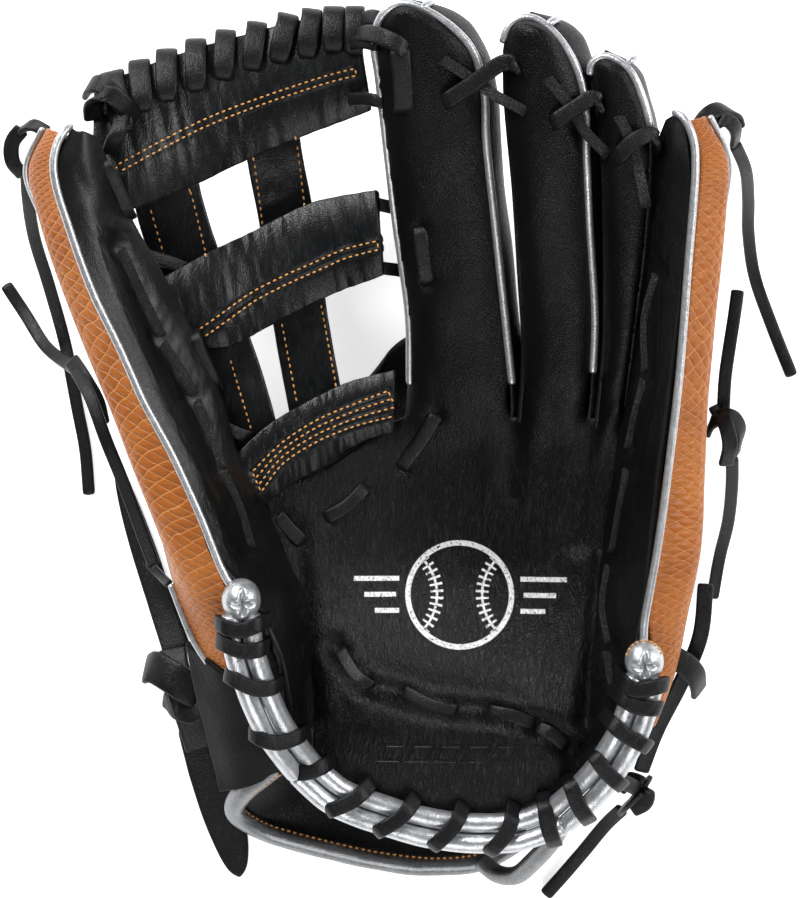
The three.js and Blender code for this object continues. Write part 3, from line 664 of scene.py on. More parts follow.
def worked(point):
    # how far the leather is drawn in or pushed up at a place, in metres
    x, y = point.x * 1000, point.y * 1000
    move = 0.0
    for line, reach, depth in creases:
        away = nearLine(x, y, line)
        if away < reach * 2.5:
            move -= depth * exp(-(away / reach) ** 2 * 1.6)
            move += 0.35 * depth * exp(-((away - reach * 1.5) / reach) ** 2 * 2)
    for hx, hy in holes:
        away = hypot(x - hx, y - hy)
        if away < 12:
            move -= 1.5 * exp(-(away / 2.6) ** 2) + 0.5 * exp(-(away / 7) ** 2)
    soft = noise.noise(point * 28) * 0.9 + noise.noise(point * 75) * 0.35
    fine = noise.noise(Vector((point.x * 260, point.y * 150, point.z * 200))) * 0.16
    return (move + soft + fine) / 1000


holes = [end for run in laid["palm_arch_lace"]["runs"] for end in (run[0], run[-1])]
bm = newMesh()
leatherShell(bm, palmSurface, 60, 70, 0.003)
for finger in fingers.values():
    leatherShell(bm, fingerFront(finger), 26, 80, 0.003)
bm = remeshed(bm, 0.00135, 3)
knuckles = [vertex for vertex in bm.verts if -0.014 < vertex.co.y < 0.024]
for _ in range(14):
    relaxed(bm, knuckles, 0.5)
for vertex in bm.verts:
    vertex.co.z += worked(vertex.co)
relaxed(bm, bm.verts, 0.4)
palmPiece = finished(bm, "palm-front-hide", palmHide, "palm", ("palm_front",), subdivide=0)
print("glove: palm hide made,", len(palmPiece.data.polygons), "faces")

# thumb and little finger fronts, laced to the palm
thumbSurface = loft(
    rail([-49, -115, 55], [-51, -93, 66], [-56, -72, 79], [-65, -55, 88], [-76.5, -42, 92.5],
         [-86.5, -18, 96.5], [-103, 14, 100.5], [-120.6, 54, 105], [-131.5, 86, 108.5], [-134.4, 103, 110.5],
         [-129.5, 116.3, 110]),
    rail([-46, -116, 53], [-48, -92, 60], [-52, -72, 67], [-58, -54, 75], [-69, -38, 82], [-82, -10, 90],
         [-99, 24, 95.5], [-115, 60, 101.5], [-125, 90, 107], [-129, 104, 110], [-127.5, 115, 109.5]),
    rail([-43, -117, 51], [-45.5, -91, 53], [-47.5, -72, 53], [-52, -53, 55], [-62, -34, 62], [-76, -8, 71],
         [-91, 20, 81], [-106, 55, 92], [-118, 84, 101], [-123.5, 102, 108], [-125, 115, 109]),
    rail([-39, -118, 48], [-41, -91, 44], [-43, -72, 39], [-46, -53, 38], [-56, -32, 44], [-69.5, -6, 53],
         [-77, 18, 62], [-87, 43, 71], [-98, 65, 78], [-109, 85, 88], [-115.5, 102, 98],
         [-120.5, 113.5, 104]),
)
littleSurface = loft(
    rail([52, -124, 56], [57.5, -97, 55], [60, -76, 55], [62.5, -46, 56], [66, -20, 60], [70.5, 12, 67],
         [75.5, 54, 80], [79, 90, 92], [80.3, 106, 99], [85, 119.5, 105.5]),
    rail([58, -122, 62], [64, -98, 69], [66.5, -76, 73], [69, -46, 76], [73, -18, 80], [77, 14, 86],
         [82.5, 60, 95], [86.5, 92, 103.5], [87, 108, 108.5], [88, 121, 109.5]),
    rail([62, -121, 66], [68, -101, 77], [72, -82, 86], [76.5, -62, 92], [79, -40, 95.5], [82, -10, 99.5],
         [86, 16, 102.5], [91, 60, 106.5], [93.7, 92, 110], [93.3, 107, 111], [90.5, 120.8, 111]),
)


def foldedWall(name, surface, across, along, lines, body, holeSpots, replaced):
    bm = newMesh()
    surfaceGrid(bm, surface, across, along)
    bm.normal_update()
    for vertex in bm.verts:
        x, y = vertex.co.x * 1000, vertex.co.y * 1000
        move = noise.noise(vertex.co * 24) * 0.5 + noise.noise(vertex.co * 90) * 0.3
        for line, reach, depth in lines:
            away = nearLine(x, y, line)
            if away < reach * 3.5:
                pucker = noise.noise(Vector((x * 0.9, y * 0.42, 3.0))) * 0.9
                move -= depth * exp(-(away / reach) ** 2) * (1 + 0.25 * pucker)
                move += (0.5 + pucker) * 0.55 * exp(-((away - reach * 1.25) / (reach * 0.8)) ** 2)
                gather = sin(y * 1.9 + 2.2 * noise.noise(Vector((x * 0.2, y * 0.2, 9.0))))
                move += 0.34 * gather * exp(-((away - reach * 0.85) / (reach * 0.42)) ** 2)
        for hx, hy in holeSpots:
            away = hypot(x - hx, y - hy)
            if away < 9:
                move -= 1.3 * exp(-(away / 2.4) ** 2)
        vertex.co += vertex.normal * move / 1000
    return finished(bm, name, fingerHide, body, replaced, wall=0.003)


thumbHoles = [end for run in laid["thumb_edge_lace"]["runs"] for end in (run[0], run[-1])]
littleHoles = [end for run in laid["little_edge_lace"]["runs"] for end in (run[0], run[-1])]
# the surfaces run from the outer seam inwards on the thumb
thumbPiece = foldedWall("thumb-front-hide", thumbSurface, 48, 150, grooves[:1] + creases[:1], None,
                        thumbHoles,
                        ("thumb_front",))
littlePiece = foldedWall("little-front-hide", littleSurface, 32, 150, grooves[1:], None, littleHoles,
                         ("little_front",))
print("glove: thumb and little finger fronts made")


def bendWith(piece, body):
    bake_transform(piece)


# what a lace can lie on, seen from above
def treeOf(*pieces):
    bm = bmesh.new()
    for piece in pieces:
        bm.from_mesh(piece.data)
    tree = BVHTree.FromBMesh(bm)
    bm.free()
    return tree


def heightOver(trees, x, y, default=None):
    best, normal = None, upward
    for tree in trees:
        hit = tree.ray_cast(Vector((x / 1000, y / 1000, 0.3)), Vector((0, 0, -1)))
        if hit[0] is not None and (best is None or hit[0].z > best):
            best, normal = hit[0].z, hit[1] if hit[1].z > 0 else -hit[1]
    return (best if best is not None else default), normal


def tautHeights(places, heights):
    # a taut strip bridges the hollows: the upper hull of the heights along its line
    taut = list(heights)
    for i in range(len(places)):
        for j in range(i):
            for k in range(i + 1, len(places)):
                share = (places[i] - places[j]) / max(places[k] - places[j], 1e-9)
                taut[i] = max(taut[i], heights[j] + (heights[k] - heights[j]) * share)
    return taut


def lieOn(trees, run, thick, dive=(3.5, 3.5), taut=True, samples=9):
    # points in metres of a strip that rests on what is below it and goes down at both ends
    line = Route([Vector((x, y, 0)) for x, y in run], samples=60)
    spots = [line.at(i / (samples - 1)) for i in range(samples)]
    heights, last = [], 0.05
    for spot in spots:
        last, _ = heightOver(trees, spot.x, spot.y, last)
        heights.append(last)
    if taut:
        heights = tautHeights([i for i in range(samples)], heights)
    points = [Vector((spot.x, spot.y, z * 1000 + thick / 2 + 0.15)) / 1000 for spot, z in zip(spots, heights)]
    start, stop = points[0].copy(), points[-1].copy()
    ahead = (points[1] - points[0]).normalized() * 0.0009
    behind = (points[-2] - points[-1]).normalized() * 0.0009
    if dive[0]:
        points[0] += ahead
        points.insert(0, start - Vector((0, 0, (thick / 2 + 0.9) / 1000)))
        points.insert(0, start - ahead * 0.2 - Vector((0, 0, dive[0] / 1000)))
    if dive[1]:
        points[-1] += behind
        points.append(stop - Vector((0, 0, (thick / 2 + 0.9) / 1000)))
        points.append(stop - behind * 0.2 - Vector((0, 0, dive[1] / 1000)))
    return points


def acrossRun(run):
    # level and square to the line from a run's first place to its last
    (ax, ay), (bx, by) = run[0][:2], run[-1][:2]
    return Vector((by - ay, ax - bx, 0)).normalized()


palmTree, thumbTree, littleTree = treeOf(palmPiece), treeOf(thumbPiece), treeOf(littlePiece)
fronts = [palmTree, thumbTree, littleTree]
for name, lace in laid.items():
    bm = newMesh()
    for run in lace["runs"]:
        route = Route(lieOn(fronts, run, 1.0 if name == "palm_arch_lace" else 0.7,
                            taut=name == "palm_arch_lace"))
        side = acrossRun(run)
        sweep(bm, route, side, lace["width"] / 1000, 0.0021, sides=12, square=0.45, step=0.0011)
    piece = finished(bm, hyphened(name, "strips"), lace["finish"],
                     lace["body"] if lace["body"] == "palm" else None, (name,), outward=True)
    if lace["body"] != "palm":
        bendWith(piece, lace["body"])
bendWith(thumbPiece, "thumb")
bendWith(littlePiece, "little_finger")
print("glove: laid laces done")

# piping along the seams
piping = {
    "index_piping": {"body": "palm", "points": [
        point + Vector((0.0007, 0, -0.0018)) for point in fingers["index"]["left"][2:7]] +
        fingers["index"]["left"][7:] + fingers["index"]["right"][-2:1:-1]},
    "middle_piping": {"body": "palm",
                      "points": fingers["middle"]["left"][7:] + fingers["middle"]["right"][-2:1:-1]},
    "ring_piping": {"body": "palm",
                    "points": fingers["ring"]["left"][7:] + fingers["ring"]["right"][-2:5:-1]},
    "thumb_piping": {"body": "thumb", "points": rail(
        [-67, -57, 90], [-74.3, -47.5, 92], [-84, -24, 96], [-94.4, -1, 99], [-104, 17, 101.5],
        [-112.2, 35.6, 103.5], [-122.6, 57.6, 106.5], [-130.9, 81, 109], [-135, 94.6, 111],
        [-136, 102.5, 111.5], [-134.8, 109.5, 111.5], [-132, 114.8, 110.8], [-129.8, 117, 107.5])},
    "little_piping": {"body": "little_finger", "points": rail(
        [78.3, -75, 88], [78.3, -64, 91.5], [80.4, -51, 94], [83, -35, 97], [85.4, -17, 99.5],
        [87.6, 2, 101.5], [90, 24, 104], [91.6, 44, 106], [93, 65, 108.5], [94.6, 86, 111],
        [95.4, 100, 112.5], [95, 110, 113], [92.6, 117, 113], [90, 120.6, 112], [87.6, 121.5, 109])},
}
tanSides = {
    "thumb": (
        rail([-68, -92, 66], [-70, -74, 76], [-74, -53, 88], [-85, -21, 96], [-103.5, 14, 101],
             [-121.5, 54, 105.5], [-133, 86, 109.5], [-136.5, 102, 111], [-133, 114, 110.5]),
        rail([-70.5, -91, 64], [-79, -72, 73], [-89.5, -50, 82], [-103.5, -19, 89], [-117.4, 16, 92],
             [-133, 55, 95], [-142, 84, 99], [-145, 102, 102], [-138, 116, 105]),
        rail([-72, -92, 61], [-86, -73, 64], [-95.5, -50, 66], [-103, -20, 68], [-114, 15, 72],
             [-129.5, 54, 76], [-141, 84, 82], [-146.5, 102, 92], [-139.5, 117, 99])),
    "little_finger": (
        rail([80, -104, 66], [83, -86, 78], [80, -63, 90], [82.5, -38, 95.5], [86, -10, 100], [90, 16, 103],
             [94, 56, 107.5], [96.5, 88, 111], [97, 106, 112], [93, 118.5, 111.5]),
        rail([83, -104, 64], [90, -83, 74], [94, -61, 81], [98.5, -38, 86], [100.4, -10, 89], [101.3, 16, 92],
             [104.3, 54, 97], [107.6, 88, 101], [107, 106, 105], [98, 120, 108.5]),
        rail([84, -104, 60], [91.5, -84, 62], [95, -62, 65], [97, -38, 68], [98, -10, 72], [99, 16, 76],
             [102, 54, 82], [106, 86, 88], [107.5, 105, 96], [100, 121, 104])),
}
# the outer edge's piping shows at the tips and under the thumb's heel
outerRuns = {"thumb-tip-outer": ("thumb", slice(6, 9), -1.2),
             "thumb-heel-outer": ("thumb", slice(0, 3), -1.0),
             "little-tip-outer": ("little_finger", slice(7, 10), 1.2)}
for key, (body, part, shift) in outerRuns.items():
    points = [point + Vector((shift / 1000, 0, -0.0002)) for point in tanSides[body][2][part]]
    piping[key + "-piping"] = {"body": body, "points": points, "radius": 1.3}
seams = {"index": rail([-3.8, 159.8, 97.6], [-1, 162.2, 95.6], [1.2, 163.6, 91.5]),
         "middle": rail([42, 153.3, 106], [45, 155.5, 103.6], [47.3, 156.9, 98.8]),
         "ring": rail([71, 139.2, 111], [73.6, 141.2, 108.4], [75.8, 142.5, 103.8])}
for key, points in seams.items():
    piping[key + "-tip-seam"] = {"body": "palm", "points": points, "radius": 1.5}
for name, line in piping.items():
    bm = newMesh()
    radius = line.get("radius", 1.6) / 1000
    sweep(bm, Route(line["points"], samples=260), lambda share: upward, radius * 2, radius * 2, sides=10,
          step=0.0022)
    finished(bm, hyphened(name, "welt"), silverHide, line["body"],
             (name,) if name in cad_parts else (), outward=True)

# tan embossed panels on the outer sides
tanPanels = {"thumb": ("thumb_outer_panel", thumbScale), "little_finger": ("little_outer_panel", littleScale)}
for body, (cadNode, finish) in tanPanels.items():
    rails = tanSides[body]
    surface = loft(*rails) if body == "little_finger" else loft(*rails[::-1])
    bm = newMesh()
    surfaceGrid(bm, surface, 22, 110)
    uneven(bm, 40, 0.0005)
    finished(bm, hyphened(cadNode, "hide"), finish, body, (cadNode,), wall=0.0024)
print("glove: piping and tan panels made")

# finger backs
backNames = {"index": "index_back", "middle": "middle_back", "ring": "ring_back"}
for key, finger in fingers.items():
    surface = fingerBack(finger)
    bm = newMesh()
    surfaceGrid(bm, lambda u, v: surface(1 - u, v), 30, 80, vRange=(0.06, 1))
    bmesh.ops.remove_doubles(bm, verts=bm.verts, dist=1e-5)
    uneven(bm, 36, 0.0007)
    finished(bm, key + "-back-hide", backHide, "palm", (backNames[key],), wall=0.0022)

backs = {
    "thumb": (
        tanSides["thumb"][2],
        rail([-74, -94, 30], [-86, -60, 32], [-96, -24, 36], [-108, 14, 42], [-124, 52, 52], [-136, 82, 62],
             [-140.5, 103, 74], [-136, 116, 90]),
        rail([-64, -98, 22], [-72, -60, 22], [-82, -26, 26], [-98, 14, 34], [-114, 48, 46], [-128, 80, 58],
             [-134, 102, 70], [-132, 115, 90]),
        rail([-60, -99, 30], [-64, -60, 32], [-74, -28, 36], [-91, 14, 44], [-107, 46, 54], [-121, 76, 63],
             [-128, 102, 76], [-128, 114, 92]),
        rail([-58, -99, 38], [-60, -60, 38], [-66, -30, 42], [-80, 14, 58], [-93, 50, 70], [-110, 80, 80],
             [-120, 103, 90], [-124, 113, 97])),
    "little_finger": (
        rail([68, -103, 56], [68, -66, 60], [70, -26, 64], [74, 14, 70], [79, 56, 80], [83, 88, 90],
             [84, 106, 98], [88, 119, 105]),
        rail([76, -102, 36], [76, -66, 36], [79, -26, 44], [83, 14, 54], [87, 56, 64], [89, 84, 74],
             [90, 104, 84], [92, 119, 96]),
        rail([80, -98, 28], [82, -64, 28], [86, -26, 34], [92, 14, 42], [97, 56, 54], [98, 84, 66],
             [98, 106, 78], [97, 120, 94]),
        rail([87, -94, 40], [92, -62, 40], [97, -26, 46], [100, 14, 54], [104, 56, 64], [105, 86, 74],
             [104, 107, 84], [99, 120.5, 98]),
        tanSides["little_finger"][2]),
}
for body, rails in backs.items():
    surface = loft(*rails)
    bm = newMesh()
    surfaceGrid(bm, lambda u, v: surface(1 - u, v), 34, 80)
    uneven(bm, 34, 0.0008)
    cadNode = {"thumb": "thumb_back", "little_finger": "little_back"}[body]
    finished(bm, hyphened(cadNode, "hide"), backHide, body, (cadNode,), wall=0.0024)

backTray = loft(
    rail([-54, -112, 26], [-58, -60, 26], [-56, -20, 28], [-40, 18, 30]),
    rail([-38, -116, 5], [-40, -60, 3], [-38, -20, 3], [-26, 26, 8]),
    rail([-12, -118, -4], [-14, -60, -4], [-12, -20, -4], [-8, 44, -4]),
    rail([20, -118, -4], [20, -60, -4], [22, -20, -4], [26, 48, -4]),
    rail([44, -116, 4], [44, -60, 4], [46, -20, 5], [48, 40, 10]),
    rail([57, -110, 24], [60, -60, 26], [61, -20, 28], [63, 14, 30]),
)


def backFace(u, v):
    point = backTray(1 - u, v)
    point.z = max(point.z, 0.0002)
    return point


bm = newMesh()
surfaceGrid(bm, backFace, 50, 60)
finished(bm, "back-of-hand-hide", backHide, "palm", ("back_shell",), wall=0.003)
print("glove: backs made")

# web: three bridges of doubled leather over two posts
bridges = {
    "web_top_bridge": {
        "lower": rail([-124, 84, 80], [-108, 88.5, 79], [-88, 97, 71], [-69, 106.5, 67], [-47, 116, 66],
                      [-21.5, 125, 72]),
        "upper": rail([-124, 132, 80], [-111, 140, 76], [-93, 147, 71], [-71, 154, 68], [-49, 159.5, 70],
                      [-27, 161, 77]),
        "roll": 5.0, "stitch": [(-115, 104.5), (-85, 121.3), (-60, 131.3), (-38.5, 138), (-27.5, 140.5)],
        "pair": 2.6},
    "web_middle_bridge": {
        "lower": rail([-94, 38.5, 62], [-76, 37.5, 59], [-60, 45.5, 55], [-39, 56.5, 54], [-17, 64.5, 61]),
        "upper": rail([-103, 62, 65], [-84, 73, 62], [-66, 82, 57], [-46, 92, 57], [-20, 97, 65]),
        "roll": 3.5, "stitch": [(-86, 44.5), (-77.5, 50.5), (-66.5, 58.5), (-54, 65), (-41.5, 70.5),
                                (-32, 74.5), (-19.5, 77.5)],
        "pair": 3.3},
    "web_bottom_bridge": {
        "lower": rail([-66, -25, 49], [-52, -14, 48], [-38, -6, 46], [-26, 2, 46], [-13, 6, 48]),
        "upper": rail([-73, -2, 55], [-61, 9, 54], [-47, 17.5, 51], [-32, 25, 50], [-13, 30, 52]),
        "roll": 3.0, "stitch": None, "pair": 2.6},
}
posts = {
    "web_left_post": {"points": rail([-67, -4, 45], [-76, 28, 48], [-91, 70, 53], [-98, 94, 57],
                                     [-101, 118, 61]),
                      "width": 26},
    "web_right_post": {"points": rail([-42, 12, 38], [-48.5, 48, 42], [-54, 88, 46], [-58.4, 112, 53],
                                      [-60.5, 134, 57]), "width": 21.5},
}


def offsetLine(line, shift):
    # the same line moved sideways by a few millimetres, seen from above
    made = []
    for i, (x, y) in enumerate(line):
        ax, ay = line[max(i - 1, 0)]
        bx, by = line[min(i + 1, len(line) - 1)]
        size = hypot(bx - ax, by - ay)
        made.append((x - (by - ay) / size * shift, y + (bx - ax) / size * shift))
    return made


bottomRows = [[(-66.5 + i * 1.1, -8.6 - i * 2.5), (-55, 2.6 - i * 2.7), (-42, 11 - i * 2.7),
               (-28, 17 - i * 2.8), (-15.5 + i * 1.4, 21.8 - i * 3.0)] for i in range(4)]
stitchLines = {name: ([bridge["stitch"], offsetLine(bridge["stitch"], -bridge["pair"])]
                      if bridge["stitch"] else bottomRows) for name, bridge in bridges.items()}
for name, bridge in bridges.items():
    flat = loft(bridge["lower"], bridge["upper"])

    def bridgeFace(u, v, flat=flat, roll=bridge["roll"]):
        # the long edges roll over a little
        point = flat(v, u)
        return point + upward * (roll * (1 - abs(2 * v - 1) ** 2.4) - roll * 0.4) / 1000
    bm = newMesh()
    surfaceGrid(bm, bridgeFace, 120, 44)
    bm.normal_update()
    for vertex in bm.verts:
        x, y = vertex.co.x * 1000, vertex.co.y * 1000
        ruck = noise.noise(Vector((x * 0.30 + y * 0.05, y * 0.05, 1.7)))
        small = noise.noise(Vector((x * 0.7 + y * 0.1, y * 0.09, 7.7)))
        move = 0.5 * ruck + 0.14 * small + 0.5 * noise.noise(Vector((x, y, 0)) * 0.04)
        for line in stitchLines[name]:
            away = nearLine(x, y, line)
            if away < 3:
                move -= 0.5 * exp(-(away / 0.9) ** 2)
        vertex.co += vertex.normal * move / 1000
    bridge["piece"] = finished(bm, hyphened(name, "hide"), webHide, "palm", (name,), wall=0.0036)
for name, post in posts.items():
    route = Route(post["points"])
    bm = newMesh()

    def postFace(u, v, route=route, width=post["width"]):
        side = Vector((route.heading(v).y, -route.heading(v).x, 0)).normalized()
        return route.at(v) + side * (u - 0.5) * width / 1000 - upward * 0.0006 * abs(2 * u - 1) ** 3
    surfaceGrid(bm, postFace, 24, 110)
    uneven(bm, 120, 0.0004)
    post["piece"] = finished(bm, hyphened(name, "hide"), webHide, "palm", (name,), wall=0.0034)
webTree = treeOf(*[item["piece"] for item in list(bridges.values()) + list(posts.values())])
print("glove: web made")

# stitches
stitchSizes = {"long": 1.5, "gap": 0.95, "thick": 0.75, "lift": 0.12}


def stitchRow(bm, trees, line):
    # short plump thread stitches along a line, lying on what is below them
    route = Route([Vector((x, y, 0)) for x, y in line], samples=60)
    count = max(int(route.length / (stitchSizes["long"] + stitchSizes["gap"])), 1)
    for i in range(count):
        middle = (i + 0.5) / count
        half = stitchSizes["long"] / 2 / route.length
        ends = []
        for share in (middle - half, middle + half):
            spot = route.at(share)
            height, normal = heightOver(trees, spot.x, spot.y)
            if height is None:
                break
            ends.append(Vector((spot.x / 1000, spot.y / 1000, height)) + normal * stitchSizes["lift"] / 1000)
        if len(ends) == 2:
            oneStitch(bm, ends[0], ends[1], stitchSizes["thick"])


def oneStitch(bm, start, stop, thick):
    made = bmesh.ops.create_uvsphere(bm, u_segments=7, v_segments=5, radius=0.5)["verts"]
    lie = (stop - start).to_track_quat("Z", "Y").to_matrix().to_4x4()
    place = Matrix.Translation((start + stop) / 2) @ lie @ Matrix.Diagonal(
        (thick / 1000, thick / 1000, (stop - start).length, 1))
    bmesh.ops.transform(bm, matrix=place, verts=made)


bm = newMesh()
for name, lines in stitchLines.items():
    for line in lines:
        stitchRow(bm, [webTree], line)
for line in ([(-115, 104.5), (-115.8, 102)], [(-27.5, 140.5), (-27, 138)], [(-19.5, 77.5), (-19, 74.2)],
             bottomRows[0][:1] + bottomRows[3][:1], bottomRows[0][-1:] + bottomRows[3][-1:]):
    stitchRow(bm, [webTree], line)
for line in ([(-66, 110), (-62.7, 84)], [(-50, 117), (-46.8, 90.5)], [(-104.5, 90), (-98.5, 69)],
             [(-89.5, 97), (-83.3, 71)], [(-55.8, 48), (-50, 17.5)], [(-41, 55), (-35, 23)],
             [(-75, 34), (-67, 7)]):
    stitchRow(bm, [webTree], line)
finished(bm, "web-stitching", orangeThread, "palm", subdivide=0)
print("glove: web stitched")

# lace wound over the web's top edge: (x, y) of each coil's crown and of the hole it rises from
coils = [((-117.5, 137.5), (-111.5, 117.5), 8.5), ((-107.5, 142), (-104.5, 125.5), 7.2),
         ((-97.5, 146.3), (-96, 129.5), 7.2), ((-86.8, 150.3), (-85.5, 133.5), 7.2),
         ((-75.8, 153.8), (-75.6, 138), 7.0), ((-64.2, 156.8), (-65.2, 141.5), 7.0),
         ((-52.6, 159.6), (-55.3, 144.3), 7.4), ((-43.6, 161.2), (-44.8, 146), 7.2),
         ((-35.4, 161.8), (-34.8, 147.6), 7.4), ((-27.6, 161.6), (-26.8, 146.5), 6.6)]
bm = newMesh()
for i, ((cx, cy), (hx, hy), width) in enumerate(coils):
    hx, hy, width = hx - 1.0, hy - 0.6, width + 0.9
    low, _ = heightOver([webTree], hx, hy, 0.07)
    high, _ = heightOver([webTree], cx, cy - 3.0, 0.075)
    hole = Vector((hx / 1000, hy / 1000, low))
    crown = Vector((cx / 1000, cy / 1000, high))
    points = [hole + Vector((0, 0.001, -0.004)), hole + Vector((0, 0.0004, 0.0004)),
              hole.lerp(crown, 0.25) + Vector((0, 0, 0.0028)), hole.lerp(crown, 0.6) + Vector((0, 0, 0.0034)),
              crown + Vector((0, -0.001, 0.0022)), crown + Vector((0, 0.0012, -0.0008)),
              crown + Vector((0, 0.0004, -0.0052)), crown + Vector((0, -0.004, -0.0078)),
              hole.lerp(crown, 0.35) + Vector((-0.001, 0, -0.0078))]
    lean = Vector((cy - hy, hx - cx, 0)).normalized()
    sweep(bm, Route(points), lean, lambda s, w=width: (w - 4.6 * exp(-(s / 0.12) ** 2)) / 1000, 0.0023,
          sides=12, square=0.42, step=0.0011)
finished(bm, "web-top-coils", laceHide, "palm", ("web_top_lace",), outward=True)


# strips that pass over something: width, finish, route in millimetres, direction of the width
def strips(name, body, finish, items, replaces=(), bend=None):
    bm = newMesh()
    for width, thick, side, points in items:
        sweep(bm, Route(rail(*points)), Vector(side), width / 1000, thick / 1000, sides=12, square=0.45,
              step=0.0013)
    piece = finished(bm, name, finish, body, replaces, outward=True)
    if bend:
        bendWith(piece, bend)
    return piece


strips("web-thumb-knots", "palm", laceHide, [
    (7.5, 2.4, (0.5, 0.85, 0), [[-112, 124, 82], [-116, 130, 88], [-120.5, 133.5, 88], [-124.5, 133.5, 84],
                                [-126, 131, 78]]),
    (7.0, 2.4, (0.75, 0.6, 0.1), [[-109, 121, 80], [-112.5, 126.5, 88], [-118.5, 130, 90], [-123.5, 127, 87],
                                  [-124, 121, 82]]),
    (6.0, 2.4, (0.9, 0.3, 0), [[-113, 124, 84], [-114.5, 116, 88], [-117, 111, 86], [-118, 108, 82]]),
])
strips("web-thumb-lacing", "palm", laceHide, [
    (5, 2.0, (0.3, 0.9, 0), [[-66, 4, 47], [-72, 6, 51], [-78, 9, 52.5], [-84, 12, 52]]),
    (5, 2.0, (0.3, 0.9, 0), [[-88, 66, 57], [-95, 69, 63], [-102, 71, 67], [-108, 73, 69]]),
], ("web_thumb_lace",))
strips("web-index-lacing", "palm", laceHide, [
    (5, 2.2, (0, 0.9, 0.1), [[-33, 149, 73], [-29, 149.5, 79], [-24, 149, 88], [-19, 147.5, 92]]),
    (6, 2.2, (0.1, 0.9, 0.1), [[-26, 157, 76], [-22.5, 158.5, 84], [-19, 157.5, 90], [-14.5, 154, 93]]),
    (5, 2.2, (0, 0.9, 0.1), [[-30, 129, 76], [-25, 129, 80], [-20, 128, 84], [-16, 127, 84]]),
    (5, 2.0, (0.1, 0.9, 0), [[-22, 92, 61], [-18, 91, 61], [-13, 90, 58], [-9, 89, 54]]),
    (5, 2.0, (0.1, 0.9, 0), [[-20, 68, 57], [-16, 67.5, 56], [-11, 67, 52], [-7, 66, 48]]),
], ("web_index_lace",))

# laces at the fingertips: a rough strip passes under a smooth one
tipLaces = {
    "tip_lace_index_middle": {"body": "palm", "under": [(4.6, 141.5), (17, 133), (24, 128), (34, 122.5)],
                              "over": [(5.6, 126.5), (16, 133), (27.5, 140), (31.3, 138)]},
    "tip_lace_middle_ring": {"body": "palm", "under": [(42.5, 133.5), (50, 124.5), (56, 115), (64, 107)],
                             "over": [(44.6, 118), (52, 123), (59.5, 127), (61.5, 124)]},
    "tip_lace_ring_little": {"body": None, "under": [(68.2, 119.8), (73, 110), (75.6, 101), (78.4, 88.5)],
                             "over": [(67.8, 105.5), (74, 111.5), (80.8, 113.5), (81.8, 110)]},
}
weltTree = treeOf(*[bpy.data.objects[name + "-piping-welt"]
                    for name in ("index", "middle", "ring", "little")])
tips = [palmTree, littleTree, weltTree]
for name, lace in tipLaces.items():
    bm = newMesh()
    under = Route(lieOn(tips, lace["under"], 1.8, samples=11, dive=(3, 4)))
    sweep(bm, under, acrossRun(lace["under"]), 0.0042, 0.0019, sides=12, square=0.5, step=0.0011)
    rough = finished(bm, hyphened(name, "rough"), suedeHide, lace["body"], (), outward=True)
    bm = newMesh()
    points = lieOn(tips, lace["over"], 2.2, samples=11, dive=(4, 5))
    for point in points[2:-2]:
        point.z += 0.0021
    sweep(bm, Route(points), acrossRun(lace["over"]), 0.0062, 0.0023, sides=12, square=0.42, step=0.0011)
    smooth = finished(bm, hyphened(name, "smooth"), laceHide, lace["body"], (name,),
                      outward=True)
    if lace["body"] is None:
        for piece in (rough, smooth):
            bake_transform(piece)
bm = newMesh()
wrap = lieOn([palmTree, weltTree], [(-11, 146), (-10.2, 135), (-9.6, 124)], 2.3, samples=9, dive=(1, 4))
sweep(bm, Route(wrap), Vector((1, 0.08, 0)), 0.0074, 0.0024, sides=12, square=0.42, step=0.0012)
fold = rail([-28, 151.5, 77], [-23, 152, 90], [-16, 149.5, 97], [-10.5, 146.5, 97.5], [-9, 144, 95.5])
sweep(bm, Route(fold), Vector((0.25, 1, 0)), 0.0066, 0.0024, sides=12, square=0.42, step=0.0012)
finished(bm, "index-wrap-strips", laceHide, "palm", (), outward=True)
strips("thumb-slot-strips", None, laceHide, [
    (4.8, 2.2, (0.9, 0.4, 0.2), [[-118.5, 106, 97], [-117.2, 103.2, 101.6], [-113.6, 95, 97.8],
                                 [-110.5, 87, 92.5], [-109.5, 84.5, 87]]),
    (4.4, 2.2, (0.9, 0.3, 0.2), [[-87.5, 44, 66], [-86.5, 41, 73], [-83, 32, 68.5], [-80, 25, 64.5],
                                 [-79, 22.5, 58]]),
], bend="thumb")
print("glove: tip laces made")

# heel binding: two rolls side by side that fold into a knob at each end
heelRolls = {
    "heel_binding_thumb": {"body": "thumb", "points": rail(
        [-46.5, -119.5, 60.5], [-56, -106, 72], [-63.5, -89, 82], [-68.5, -72, 89], [-69, -60, 91.5]),
        "knob": (-69, -55, 92), "toward": (0.12, -0.22, 1)},
    "heel_binding_palm": {"body": "palm", "points": rail(
        [-47.5, -118.5, 61], [-35, -130, 55], [-18, -137, 54], [0, -142, 54], [20, -144, 55],
        [36, -142.5, 57], [49, -136.5, 61.5]), "knob": None, "toward": None},
    "heel_binding_little": {"body": "little_finger", "points": rail(
        [48, -137.3, 61], [61, -124, 71], [71, -108, 82], [76, -95, 87], [78.3, -83, 90]),
        "knob": (78.3, -77.5, 90.5), "toward": (0.0, -0.3, 1)},
}


def bendRoll(piece, body):
    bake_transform(piece)


